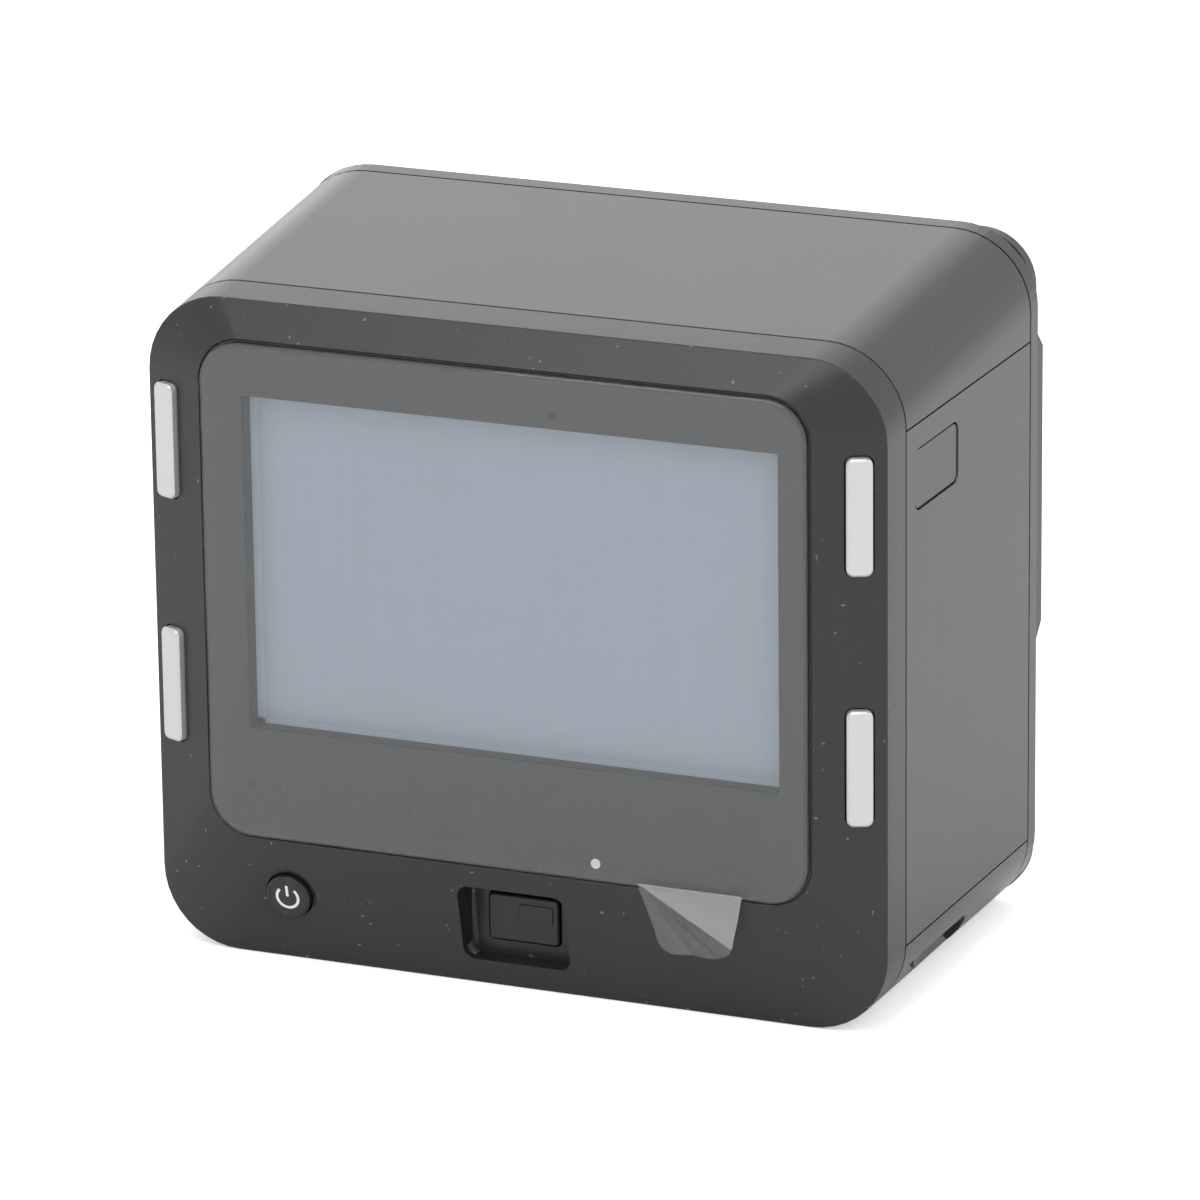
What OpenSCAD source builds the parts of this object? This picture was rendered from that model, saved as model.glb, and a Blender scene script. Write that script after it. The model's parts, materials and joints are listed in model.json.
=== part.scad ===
// Detachable digital back of a medium format camera, in millimetres.
// Display side towards -Y, camera side towards +Y, Z up, origin under the middle of the box.

/* [Body] */
// Width over the sides, at the front edge of the straight sides
body_w = 96.1; // [90:0.1:104]
// Height over the top, at the front edge of the straight sides
body_h = 84.4; // [80:0.1:92]
// Radius of the four long corners
body_r = 10; // [8:0.5:11]
// How far each side leans out per millimetre of depth
side_flare = 0.03; // [0:0.005:0.04]
// How far the top rises per millimetre of depth
top_rise = 0.083; // [0:0.005:0.09]
// Wall of the shells
wall = 2; // [1.6:0.1:2.4]
// Height of the seam between the bottom cover and the side panels
low_seam_z = 9.7; // [9:0.1:11]
// Height of the seam between the side panels and the top cover
high_seam_z = 74.7; // [73.9:0.1:75.5]
// Width of the line between two shells
seam = 0.16; // [0.1:0.02:0.3]

/* [Depth] */
// Where the sloping bands meet the straight sides
band_y = 4.3; // [3.8:0.1:5]
// Where the sloping bands meet the glass
lip_y = 0.7; // [0.4:0.1:1]
// Depth of the seam behind the bezel
bezel_y = 10.2; // [9.8:0.1:11]
// Depth of the seam in front of the rear frame
shell_y = 51; // [50.6:0.1:53]
// Thickness of the rear frame
ring_t = 2.4; // [2:0.1:3]
// Thickness of the mount plate
plate_t = 1.7; // [1.5:0.1:2.5]
// How far the light baffle stands out behind the mount plate
baffle_out = 3.4; // [2.5:0.1:5]

/* [Glass and display] */
// Width of the cover glass
glass_w = 78.6; // [76:0.1:80]
// Height of the cover glass
glass_h = 63.1; // [61:0.1:64]
// Height of the lower edge of the cover glass
glass_z = 16.9; // [16.5:0.1:18]
// Corner radius of the cover glass
glass_r = 5.2; // [4:0.1:7]
// Thickness of the cover glass
glass_t = 1.1; // [0.9:0.1:1.3]
// Gap round the cover glass
glass_gap = 0.4; // [0.2:0.1:0.6]
// Width of the ledge that the glass is glued to
glass_ledge = 2.2; // [1.5:0.1:2.4]
// Thickness of the protective film
film_t = 0.12; // [0.1:0.02:0.2]
// Width of the film's pull tab
tab_w = 13; // [10:0.5:16]
// How far the pull tab hangs below the glass
tab_h = 8.2; // [6:0.2:10]
// Middle of the pull tab
tab_x = 24.2; // [18:0.2:28]
// Width of the picture area
picture_w = 69.7; // [66:0.1:70]
// Height of the picture area
picture_h = 42.6; // [40:0.1:44]
// Middle of the picture area, across
picture_x = 0.7; // [0:0.1:1]
// Lower edge of the picture area
picture_z = 30.7; // [30:0.1:31]
// Depth of the picture behind the glass front
picture_y = 3.4; // [2.6:0.1:4]
// Depth of the display board's front face
board_y = 8; // [7.8:0.1:8.2]
// Thickness of the display board
board_t = 1; // [0.8:0.1:1.2]

/* [Keys and buttons] */
// Width of a function key
key_w = 3.2; // [2.8:0.1:3.4]
// Length of a function key
key_l = 14.6; // [13:0.1:16]
// Corner radius of a function key
key_r = 0.9; // [0.6:0.1:1.2]
// How far in from the side of the body the middle of a key is
key_x = 3.05; // [2.9:0.05:3.3]
// Height of the lower keys
key_low_z = 34.6; // [30:0.1:38]
// Height of the upper keys
key_high_z = 66; // [62:0.1:66.5]
// How far a key stands out of its band
key_proud = 1; // [0.6:0.1:1.2]
// Travel of a key
key_travel = 0.5; // [0.3:0.05:0.5]
// Clearance round a key or button
key_gap = 0.2; // [0.15:0.01:0.25]
// Radius of the power button
power_r = 2.95; // [2.5:0.05:3.1]
// Radius of the dish round the power button
dish_r = 4.9; // [4.5:0.1:5.4]
// Depth of the dish
dish_deep = 0.9; // [0.5:0.1:1]
// Distance of the power button from the middle
power_x = 30.4; // [28:0.1:32]
// Height of the power button
power_z = 8.4; // [8.1:0.1:8.6]
// Width of the latch recess
recess_w = 14.2; // [13:0.1:15]
// Height of the latch recess
recess_h = 10.2; // [9.8:0.1:10.4]
// Lower edge of the latch recess
recess_z = 3.3; // [3.2:0.1:3.5]
// Depth of the floor of the latch recess
recess_y = 6.2; // [6:0.1:6.3]
// Width of the release button
release_w = 9.3; // [8.5:0.1:9.8]
// Height of the release button
release_h = 6; // [5.6:0.1:6.4]
// Travel of the release button
release_travel = 1.2; // [1:0.05:1.2]

/* [Battery and card] */
// Width of the battery
battery_w = 70.4; // [68:0.1:71]
// Thickness of the battery
battery_t = 19.6; // [19:0.1:19.8]
// Height of the battery
battery_h = 38.1; // [37:0.1:38.4]
// Depth of the battery's front face
battery_y = 14.4; // [14.3:0.1:14.6]
// Clearance round the battery
battery_gap = 0.3; // [0.2:0.05:0.4]
// Wall of the battery bay
bay_wall = 1; // [0.8:0.1:1]
// Width of the card slot, which stands upright
slot_h = 30; // [29.8:0.1:30.2]
// Thickness of the card slot
slot_t = 4.4; // [4.3:0.1:4.6]
// Lower end of the card slot
slot_z = 41.9; // [41.7:0.1:42.1]
// Depth of the middle of the card slot
slot_y = 24.1; // [23.9:0.1:24.4]
// How deep a card goes in
slot_deep = 38.5; // [36:0.5:40]
// Thickness of the side doors
door_t = 1.9; // [1.7:0.1:1.9]
// Gap round a side door
door_gap = 0.25; // [0.2:0.01:0.3]
// Radius of a door's hinge pin
door_pin_r = 0.5; // [0.4:0.05:0.55]

/* [Badge and notches] */
// Length of the side badge
badge_l = 13.7; // [12:0.1:15]
// Height of the side badge
badge_h = 7.7; // [7:0.1:8.5]
// Depth of the side badge's front end
badge_y = 13.2; // [12:0.1:16]
// Lower edge of the side badge
badge_z = 63.8; // [60:0.1:65]
// Depth of the front end of the notch in the bottom cover
notch_y = 15.6; // [14:0.1:17]
// Length of the notch
notch_l = 16.6; // [14:0.1:18]
// Upper edge of the notch
notch_z = 6.5; // [6.2:0.1:6.8]
// How far the notch goes into the side
notch_deep = 3.2; // [2.6:0.1:3.4]

/* [Camera side] */
// Width of the sensor window
window_w = 54.4; // [52:0.1:55]
// Height of the sensor window
window_h = 41.2; // [40:0.1:42]
// Height of the middle of the sensor window
window_z = 55.2; // [54.8:0.1:55.6]
// Wall of the light baffle
baffle_wall = 1.8; // [1.5:0.1:2]
// Width of the rim of the light baffle
baffle_rim = 3.2; // [2.5:0.1:4]
// Radius of the locating bores
dowel_r = 2; // [1.5:0.1:2.2]
// Distance of a locating bore from the middle
dowel_x = 33; // [30:0.5:34]
// Height of the locating bores
dowel_z = 17; // [16:0.5:19]
// Number of contacts on the camera side
contacts = 10; // [6:2:10]
// Pitch of the contacts
contact_pitch = 2.9; // [2.5:0.1:3]
// Height of the contact block
contact_h = 6; // [5:0.1:7]
// Radius of a contact
contact_r = 0.9; // [0.7:0.05:1]
// Height of the middle of the contact block
contact_z = 24; // [22:0.5:25]

/* [Hidden] */
// Facets of every circle
$fn = 48;
// Thickness of the thin slices that a hull joins, and the overlap of cuts
slice = 0.01;
cut = 1;
lcd_low = 8;
lcd_r = 1;
side_r = 0.8;
// Pin in bush, and screw in its own hole
running_fit = 0.05;
seat_fit = 0.02;
touch = 0.05;

// Half width and height of the body at a depth
function half_w(y) = body_w / 2 + side_flare * (y - band_y);
function top_z(y) = body_h + top_rise * (y - band_y);
flare_angle = atan(side_flare);
// The upper seam clears the card door
door_margin = 1.9;
cage_margin = 0.9;
top_seam_z = max(high_seam_z, slot_z + slot_h + cage_margin + door_margin);

// Front opening round the glass
lip_x = glass_w / 2 + glass_gap;
lip_low = glass_z - glass_gap;
lip_high = glass_z + glass_h + glass_gap;
lip_r = glass_r + glass_gap;
// Slope of the bands at the sides and at the bottom
side_slope = (band_y - lip_y) / (body_w / 2 - lip_x);
low_slope = (band_y - lip_y) / lip_low;
side_angle = atan(side_slope);
key_mid_x = body_w / 2 - key_x;
low_angle = atan(low_slope);
key_y = lip_y + (key_mid_x - lip_x) * side_slope;
power_y = lip_y + (lip_low - power_z) * low_slope;

// Notches at the side edges of the bottom cover, along the side face, and the roof over them
notch_front = notch_y - band_y;
notch_back = notch_front + notch_l;
notch_r = 1.6;
notch_room = 0.2;
roof_t = 1.1;
bay_r = 2;

// Chassis
chassis_t = 1.6;
chassis_gap = 0.15;
chassis_out = wall + chassis_gap;
chassis_in = chassis_out + chassis_t;
chassis_y = board_y + board_t;
chassis_end = shell_y - touch;

// Key and button stems, and the dome switches that they press
key_back = wall + touch;
stem_r = 1;
key_stem = key_back + touch + 1.3;
power_stem = 2 * wall + 0.3;
dome_t = key_travel;
dome_y = board_y - dome_t;
dome_r = 1.6;
power_dome_r = 1.8;
button_flange = 0.9;
button_stem_r = 1.2;
button_sunk = 0.15;

// Battery bay
battery_z = 0.3;
battery_top = battery_z + battery_h;
battery_end = battery_y + battery_t;
bay_x = battery_w / 2 + battery_gap;
bay_y = battery_y - battery_gap;
bay_end = battery_end + battery_gap;
bay_top = battery_top + 2 * battery_gap;
bay_foot = wall + touch;
battery_contact_x = battery_w / 4 + 0.4;
battery_contact_w = battery_w / 4 + 0.4;
battery_contact_t = 7;
battery_contact_h = 1.6;
blade_pitch = 3.4;
blade_t = 1.2;
blade_w = 4;
grip_pitch = 4;
grip_w = 1.4;
grip_deep = 0.8;
case_step = 0.2;
mid_y = bay_end + bay_wall + touch;
mid_t = 1.6;
mid_end = mid_y + mid_t;

// Release latch, seen from the side
release_z = recess_z + recess_h / 2;
tub_wall = 1.2;
tub_y = recess_y + tub_wall;
flange_t = 0.8;
lever_clear = 0.65;
hub_r = 1.4;
pivot_y = tub_y + touch + flange_t + release_travel + hub_r + lever_clear;
pivot_z = release_z;
latch_pin_r = 0.8;
lever_w = 8;
ear_t = 1.2;
ear_r = 1.7;
lever_room = 9.4;
lever_side = 0.25;
lever_side_r = 0.5;
ear_x = lever_w / 2 + battery_gap;
stem_end = pivot_y - hub_r + battery_gap;
// Release plate: how far it stands out of the floor, its corners, and the tongue that pushes the lever
plate_proud = 0.5;
plate_r = 0.6;
plate_lap = 1;
push_z = 3;
push_w = 4;
push_t = 0.8;
// Upper arm, hub side, nose and lower arm of the lever, from its pivot
nose_reach = battery_y - battery_gap - pivot_y;
lever_points = [[-0.9, 3.9], [0.3, 3.9], [0.9, 0.8], [0.9, -1.4], [nose_reach, -2],
    [nose_reach, -3.2], [-0.3, -3.4], [-0.9, -0.8]];

// Main board and card cage
cage_wall = 1.1;
cage_y = slot_y - slot_t / 2 - cage_wall;
cage_end = slot_y + slot_t / 2 + cage_wall;
cage_low = slot_z - cage_margin;
cage_high = slot_z + slot_h + cage_margin;
cage_stop = 4;
cage_x = half_w(slot_y) - chassis_in - touch - 0.3;
cage_in = cage_x - slot_deep;
main_t = 1.6;
main_y = cage_y - main_t;
main_x = half_w(main_y) - chassis_in - 1;
main_low = 42;
main_high = 80;
standoff_r = 2;
board_screw_r = 1;
standoff_z = main_high - 3;
standoffs = [[main_x - 3, 46], [main_x - 3, standoff_z], [3 - main_x, standoff_z]];

// Badge plate in the right panel
badge_deep = 0.7;
badge_sunk = 0.15;
badge_gap = 0.25;
badge_r = 1.3;

// Side doors: the hinge pin stands upright in the rear edge. Depths are along the side face.
card_door_y = 12.6;
card_pin_y = 27.6;
card_door_z = cage_low;
card_door_high = cage_high;
port_door_y = 33.9;
port_pin_y = 43.4;
port_door_z = 14;
port_door_high = 34;
port_mid = 38.6;
port_z = (port_door_z + port_door_high) / 2;
port_w = 3.4;
port_h = 9.2;
port_deep = 8;
pin_reach = 1.1;
knuckle_r = door_t / 2;
port_r = 1.6;
port_case_r = 1;
panel_r = 0.2;
port_wall = 0.8;
socket_floor = 1.5;
door_r = 0.4;

// Sensor stack, from the middle wall to the filter glass
sensor_rim = 3.6;
sensor_w = window_w + 2 * sensor_rim + 0.4;
sensor_h = window_h + 2 * sensor_rim - 0.4;
sensor_r = 1.5;
sensor_sunk = 1.6;
spreader_pad = 14;
rib_pitch = 8;
rib_gap = 3;
rib_deep = 0.4;
spreader_t = 4;
sensor_board_y = mid_end + spreader_t + 0.6;
sensor_board_t = 1.6;
sensor_y = sensor_board_y + sensor_board_t;
sensor_t = 4;
gasket_y = sensor_y + sensor_t;
gasket_t = 1;
filter_y = gasket_y + gasket_t;
filter_t = 1.8;
filter_end = filter_y + filter_t;

// Camera side
ring_end = shell_y + ring_t;
plate_end = ring_end + plate_t;
rear_end = plate_end + baffle_out;
plate_inset = 0.8;
ring_in = 4.5;
ring_r = 4;
rim_t = 1.2;
rim_r = 4;
baffle_r = 2.4;
contact_end = plate_end + 1.6;
contact_out = 0.2;
contact_block_r = 1.5;
baffle_w = window_w + 2 * baffle_wall;
baffle_h = window_h + 2 * baffle_wall;
screw_x = half_w(shell_y) - body_r + 1.1;
screw_low = body_r - 1.5;
screw_high = top_z(shell_y) - body_r + 1.5;
screw_r = 1.2;
screw_head_r = 2.3;
screw_head_t = 1.3;
boss_r = 2.4;
boss_h = 5;
screw_bite = 4;
foot_bite = 3;
tap_room = 0.4;
board_head_r = 1.9;
board_head_t = 1.2;
head_gap = 0.1;
head_sunk = 0.2;
opening_deep = 8;
block_z = 55.3;
block_h = 39.5;
block_in = 6;
block_out = 0.2;
foot_screw_x = 34;
foot_screw_y = mid_end + 4.6;

// The whole part is centred on the origin in depth
middle_y = (rear_end - film_t) / 2;
module placed() translate([0, -middle_y, 0]) children();

// Outline drawn in a plane and pulled along one axis
module along_x(from, to) translate([from, 0, 0]) rotate([90, 0, 90]) linear_extrude(to - from) children();
module along_y(from, to) translate([0, to, 0]) rotate([90, 0, 0]) linear_extrude(to - from) children();
module along_z(from, to) translate([0, 0, from]) linear_extrude(to - from) children();

// Rectangle with round corners, from its edges
module rounded(x0, x1, y0, y1, r) {
    translate([x0 + r, y0]) square([x1 - x0 - 2 * r, y1 - y0]);
    translate([x0, y0 + r]) square([x1 - x0, y1 - y0 - 2 * r]);
    for (x = [x0 + r, x1 - r], y = [y0 + r, y1 - r]) translate([x, y]) circle(r);
}

// Rectangle with round corners, from its middle
module centred(w, h, r) rounded(-w / 2, w / 2, -h / 2, h / 2, r);

// Outline of the body at a depth, moved inwards by an inset
module body_outline(y, inset) {
    side = half_w(y) - inset;
    rounded(-side, side, inset, top_z(y) - inset, body_r - inset);
}

// Solid of the body between two depths
module body_form(from, to, inset) hull() {
    along_y(from, from + slice) body_outline(from, inset);
    along_y(to - slice, to) body_outline(to, inset);
}

// Solid of the bezel, or of the hollow in it
module bezel_form(inset) hull() {
    lip_back = lip_y + 1.1 * inset;
    edge = band_y + 0.65 * inset;
    end = inset > 0 ? bezel_y + cut : bezel_y;
    along_y(lip_back, lip_back + slice) rounded(-lip_x, lip_x, lip_low, lip_high, lip_r);
    along_y(edge, edge + slice) body_outline(band_y, inset);
    along_y(end - slice, end) body_outline(bezel_y, inset);
}

// Local frames: the side face, a side band and the lower band.
// On the side face X=0 is the surface, and on the bands Y=0 is the surface, with Y into the body.
module on_side(s) mirror([s < 0 ? 1 : 0, 0, 0]) translate([body_w / 2, band_y, 0])
    rotate([0, 0, -flare_angle]) children();
module on_side_band(s, z) mirror([s < 0 ? 1 : 0, 0, 0]) translate([key_mid_x, key_y, z])
    rotate([0, 0, side_angle]) children();
module on_low_band() translate([-power_x, power_y, power_z]) rotate([low_angle, 0, 0]) children();

// Section 1: display side
module recess_outline(grow) rounded(-recess_w / 2 - grow, recess_w / 2 + grow,
    recess_z - grow, recess_z + recess_h + grow, 1.5);

module bezel() color("#3c3e40") placed() difference() {
    union() {
        difference() {
            bezel_form(0);
            bezel_form(wall);
        }
        along_y(band_y, tub_y) recess_outline(tub_wall);
    }
    along_y(-cut, glass_t) rounded(-lip_x, lip_x, lip_low, lip_high, lip_r);
    along_y(0, bezel_y) rounded(glass_ledge - lip_x, lip_x - glass_ledge, lip_low + glass_ledge,
        lip_high - glass_ledge, lip_r - glass_ledge);
    along_y(-cut, recess_y) recess_outline(0);
    along_y(0, tub_y + cut) translate([0, release_z])
        centred(release_w + 2 * key_gap, release_h + 2 * key_gap, plate_r + key_gap);
    for (s = [-1, 1], z = [key_low_z, key_high_z]) on_side_band(s, z)
        along_y(-2 * key_proud, 1.5 * wall) centred(key_w + 2 * key_gap,
            key_l + 2 * key_gap, key_r + key_gap);
    on_low_band() {
        along_y(-cut, 2 * wall) circle(power_r + key_gap);
        rotate([-90, 0, 0]) translate([0, 0, -slice]) cylinder(dish_deep, dish_r, power_r + 0.6);
    }
}

module cover_glass() color("#2a2d30", 0.9) placed() along_y(0, glass_t)
    rounded(-glass_w / 2, glass_w / 2, glass_z, glass_z + glass_h, glass_r);

module protective_film() color("#dfe6ea", 0.4) placed() along_y(-film_t, 0) {
    margin = 0.3;
    rounded(margin - glass_w / 2, glass_w / 2 - margin, glass_z + margin, glass_z + glass_h - margin,
        glass_r - margin);
    rounded(tab_x - tab_w / 2, tab_x + tab_w / 2, glass_z - tab_h, glass_z + 3, 2.4);
}

module lcd_module() color("#8f9ca6") placed() {
    side = lip_x - glass_ledge - 2 * glass_gap;
    difference() {
        along_y(glass_t + key_gap, board_y) rounded(-side, side, lip_low + glass_ledge + lcd_low,
            lip_high - glass_ledge - lcd_r, lcd_r);
        along_y(0, picture_y) translate([picture_x - picture_w / 2, picture_z])
            square([picture_w, picture_h]);
    }
}

module display_board() color("#1f5a3c") placed() difference() {
    along_y(board_y, chassis_y) body_outline(band_y, chassis_out + 0.3);
    along_y(board_y - cut, chassis_y + cut) rounded(-recess_w / 2 - 2, recess_w / 2 + 2, -cut,
        recess_z + recess_h + 2, 1);
}

module dome_switches() color("#b8b8b4") placed() {
    for (s = [-1, 1], z = [key_low_z, key_high_z])
        translate([s * (key_mid_x - key_stem * sin(side_angle)), 0, z]) along_y(dome_y, board_y)
            circle(dome_r);
    translate([-power_x, 0, power_z - key_stem * sin(low_angle)]) along_y(dome_y, board_y)
        circle(power_dome_r);
}

// A function key: cap, flange that holds it behind the band, and stem
module function_key(s, z) color("#e4e4e2") placed() on_side_band(s, z) {
    back = key_back + touch;
    along_y(-key_proud, back + flange_t) centred(key_w, key_l, key_r);
    along_y(back, back + flange_t) centred(key_w, key_l + 2 * stem_r, key_r);
    along_y(back, key_stem) circle(stem_r);
}
module key_upper_left() function_key(-1, key_high_z);
module key_lower_left() function_key(-1, key_low_z);
module key_upper_right() function_key(1, key_high_z);
module key_lower_right() function_key(1, key_low_z);

module power_button() color("#18191a") placed() on_low_band() {
    along_y(button_sunk, key_back + flange_t) circle(power_r);
    along_y(key_back, key_back + flange_t) circle(power_r + button_flange);
    along_y(key_back, power_stem) circle(button_stem_r);
}

module release_button() color("#1c1d1f") placed() {
    back = tub_y + touch;
    along_y(recess_y - plate_proud, back + flange_t) translate([0, release_z])
        centred(release_w, release_h, plate_r);
    along_y(back, back + flange_t) translate([0, release_z])
        centred(release_w + 2 * plate_lap, release_h + 2 * plate_lap, plate_r);
    along_y(back, stem_end) translate([0, pivot_z + push_z]) square([push_w, push_t], center = true);
}

module latch_lever() color("#a8acb0") placed() translate([0, pivot_y, pivot_z])
    along_x(-lever_w / 2, lever_w / 2)
    difference() {
        union() {
            polygon(lever_points);
            circle(hub_r);
        }
        circle(latch_pin_r + running_fit);
    }

module latch_pin() color("#c8cacc") placed() translate([0, pivot_y, pivot_z])
    along_x(-ear_x - ear_t, ear_x + ear_t) circle(latch_pin_r);

// Section 2: chassis and shells
module side_opening(y0, y1, z0, z1, deep) on_side(-1) along_x(-deep, cut) rounded(y0, y1, z0, z1, side_r);

module both_notches(grow) for (s = [-1, 1]) on_side(s) along_x(-notch_deep - grow, cut)
    rounded(notch_front - grow, notch_back + grow, -notch_z, notch_z + grow, notch_r);

module bay_outline(grow) rounded(-bay_x - grow, bay_x + grow, bay_y - grow, bay_end + grow, bay_r + grow);

module standoff_row(from, to, r) for (p = standoffs) translate([p[0], 0, p[1]]) along_y(from, to) circle(r);
module frame_screw_row(from, to, r) for (x = [-screw_x, screw_x], z = [screw_low, screw_high])
    translate([x, 0, z]) along_y(from, to) circle(r);
module foot_screw_row(from, to, r) for (x = [-foot_screw_x, foot_screw_x])
    translate([x, foot_screw_y, 0]) along_z(from, to) circle(r);

module chassis() color("#6f7376") placed() difference() {
    union() {
        difference() {
            body_form(chassis_y, chassis_end, chassis_out);
            body_form(chassis_y - cut, mid_y, chassis_in);
            body_form(mid_end, chassis_end + cut, chassis_in);
        }
        standoff_row(main_y + main_t, mid_y + slice, standoff_r);
        frame_screw_row(mid_end - slice, chassis_end, boss_r);
        foot_screw_row(chassis_in - slice, chassis_in + boss_h, boss_r);
    }
    along_z(-cut, chassis_in + cut) {
        bay_outline(bay_wall + touch);
        translate([-ear_x - ear_t - cut, pivot_y - 2 * hub_r]) square([2 * (ear_x + ear_t + cut), 4 * hub_r]);
    }
    both_notches(roof_t + notch_room);
    side_opening(slot_y - slot_t / 2 - band_y, slot_y + slot_t / 2 - band_y,
        slot_z, slot_z + slot_h, opening_deep);
    side_opening(port_mid - port_w / 2 - battery_gap, port_mid + port_w / 2 + battery_gap,
        port_z - port_h / 2 - battery_gap, port_z + port_h / 2 + battery_gap, opening_deep);
    standoff_row(main_y, main_y + main_t + screw_bite + tap_room, board_screw_r + seat_fit);
    frame_screw_row(mid_end + screw_bite, shell_y, screw_r + seat_fit);
    foot_screw_row(0, chassis_in + screw_bite, screw_r + seat_fit);
}

module shell_zone(low, high) intersection() {
    difference() {
        body_form(bezel_y + seam, shell_y - seam, 0);
        body_form(bezel_y - cut, shell_y + cut, wall);
    }
    translate([-body_w, 0, low]) cube([2 * body_w, shell_y, high - low]);
}

module top_cover() color("#86878a") placed() shell_zone(top_seam_z + seam / 2, 2 * body_h);

module bottom_cover() color("#3a3b3d") placed() difference() {
    union() {
        shell_zone(-cut, low_seam_z - seam / 2);
        for (s = [-1, 1]) on_side(s) along_x(-notch_deep - roof_t, -wall) rounded(notch_front - roof_t,
            notch_back + roof_t, notch_z - notch_r + notch_room, notch_z + roof_t, side_r);
    }
    both_notches(0);
    along_z(-cut, wall + cut) bay_outline(0);
    foot_screw_row(-cut, wall + cut, screw_r + running_fit);
    foot_screw_row(-cut, screw_head_t + head_sunk, screw_head_r + head_gap);
}

// A side panel is flat, in the frame of its side face
module side_panel(s) on_side(s) along_x(-wall, 0) rounded(bezel_y + seam - band_y, shell_y - seam - band_y,
    low_seam_z + seam / 2, top_seam_z - seam / 2, panel_r);

module right_panel() color("#7b7c7f") placed() difference() {
    side_panel(1);
    on_side(1) along_x(-badge_deep, cut) badge_outline(0);
}

module badge_outline(inset) rounded(badge_y - band_y + inset, badge_y - band_y + badge_l - inset,
    badge_z + inset, badge_z + badge_h - inset, badge_r - inset);
module right_badge() color("#4a4b4d") placed() on_side(1) along_x(-badge_deep, -badge_sunk)
    badge_outline(badge_gap);

module door_leaf(y0, pin_y, z0, z1) difference() {
    on_side(-1) {
        along_x(-door_t, 0) rounded(y0, pin_y, z0, z1, door_r);
        translate([-knuckle_r, pin_y, 0]) along_z(z0, z1) circle(knuckle_r);
    }
    on_side(-1) translate([-knuckle_r, pin_y, 0]) along_z(z0 - cut, z1 + cut)
        circle(door_pin_r + running_fit);
}
module door_room(y0, pin_y, z0, z1) on_side(-1) {
    along_x(-wall - cut, cut) rounded(y0 - door_gap, pin_y + knuckle_r + door_gap, z0 - door_gap,
        z1 + door_gap, door_r);
    translate([-knuckle_r, pin_y, 0]) along_z(z0 - pin_reach, z1 + pin_reach) circle(door_pin_r + seat_fit);
}
module door_pin(pin_y, z0, z1) on_side(-1) translate([-knuckle_r, pin_y, 0])
    along_z(z0 - pin_reach, z1 + pin_reach) circle(door_pin_r);

module left_panel() color("#7b7c7f") placed() difference() {
    side_panel(-1);
    door_room(card_door_y, card_pin_y, card_door_z, card_door_high);
    door_room(port_door_y, port_pin_y, port_door_z, port_door_high);
}
module card_door() color("#6c6d70") placed() door_leaf(card_door_y, card_pin_y, card_door_z, card_door_high);
module card_door_pin() color("#c8cacc") placed() door_pin(card_pin_y, card_door_z, card_door_high);
module port_door() color("#6c6d70") placed() door_leaf(port_door_y, port_pin_y, port_door_z, port_door_high);
module port_door_pin() color("#c8cacc") placed() door_pin(port_pin_y, port_door_z, port_door_high);

// Section 3: card, boards and battery
module port_outline(grow, r) rounded(port_mid - port_w / 2 - grow, port_mid + port_w / 2 + grow,
    port_z - port_h / 2 - grow, port_z + port_h / 2 + grow, r);
module port_connector() color("#b4b6b8") placed() on_side(-1) difference() {
    along_x(-chassis_in - port_deep, -chassis_in - touch)
        port_outline(port_wall, port_case_r);
    along_x(-chassis_in - port_deep + socket_floor, 0) port_outline(0, port_r);
}

module card_cage() color("#9a9da0") placed() difference() {
    translate([-cage_x, cage_y, cage_low])
        cube([cage_x - cage_in + cage_stop, cage_end - cage_y, cage_high - cage_low]);
    translate([-cage_x - cut, slot_y - slot_t / 2, slot_z]) cube([slot_deep + cut, slot_t, slot_h]);
}

module main_board() color("#1f5a3c") placed() difference() {
    along_y(main_y, main_y + main_t) rounded(-main_x, main_x, main_low, main_high, 1.5);
    standoff_row(main_y - cut, cage_y + cut, board_screw_r + 0.1);
}

// Screw pulled along its axis, with the head at the high end and a hexagonal socket in it
module screw(shank_from, head_from, head_to, r, head_r) difference() {
    union() {
        translate([0, 0, shank_from]) cylinder(head_to - shank_from, r, r);
        translate([0, 0, head_from]) cylinder(head_to - head_from, head_r, head_r);
    }
    translate([0, 0, head_to - 0.7]) cylinder(cut, 0.45 * head_r, 0.45 * head_r, $fn = 6);
}

module board_screws() color("#c8cacc") placed() for (p = standoffs)
    translate([p[0], main_y, p[1]]) rotate([90, 0, 0]) screw(-main_t - screw_bite, 0, board_head_t,
        board_screw_r, board_head_r);

module battery_bay() color("#4c4f52") placed() difference() {
    union() {
        along_z(bay_foot, bay_top + bay_wall) bay_outline(bay_wall);
        for (s = [-1, 1], x = s * (ear_x + ear_t / 2)) along_x(x - ear_t / 2, x + ear_t / 2) {
            translate([pivot_y, pivot_z]) circle(ear_r);
            translate([pivot_y, pivot_z - ear_r]) square([bay_y - bay_wall / 2 - pivot_y, 2 * ear_r]);
        }
    }
    along_z(bay_foot - cut, bay_top) bay_outline(0);
    along_y(bay_y - bay_wall - cut, bay_y + cut) translate([0, pivot_z])
        centred(lever_w + 2 * lever_side, lever_room, lever_side_r);
    contact_room(bay_top - cut, bay_top + bay_wall + cut, 0.1);
    translate([0, pivot_y, pivot_z]) along_x(-2 * ear_x, 2 * ear_x) circle(latch_pin_r + seat_fit);
}

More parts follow.
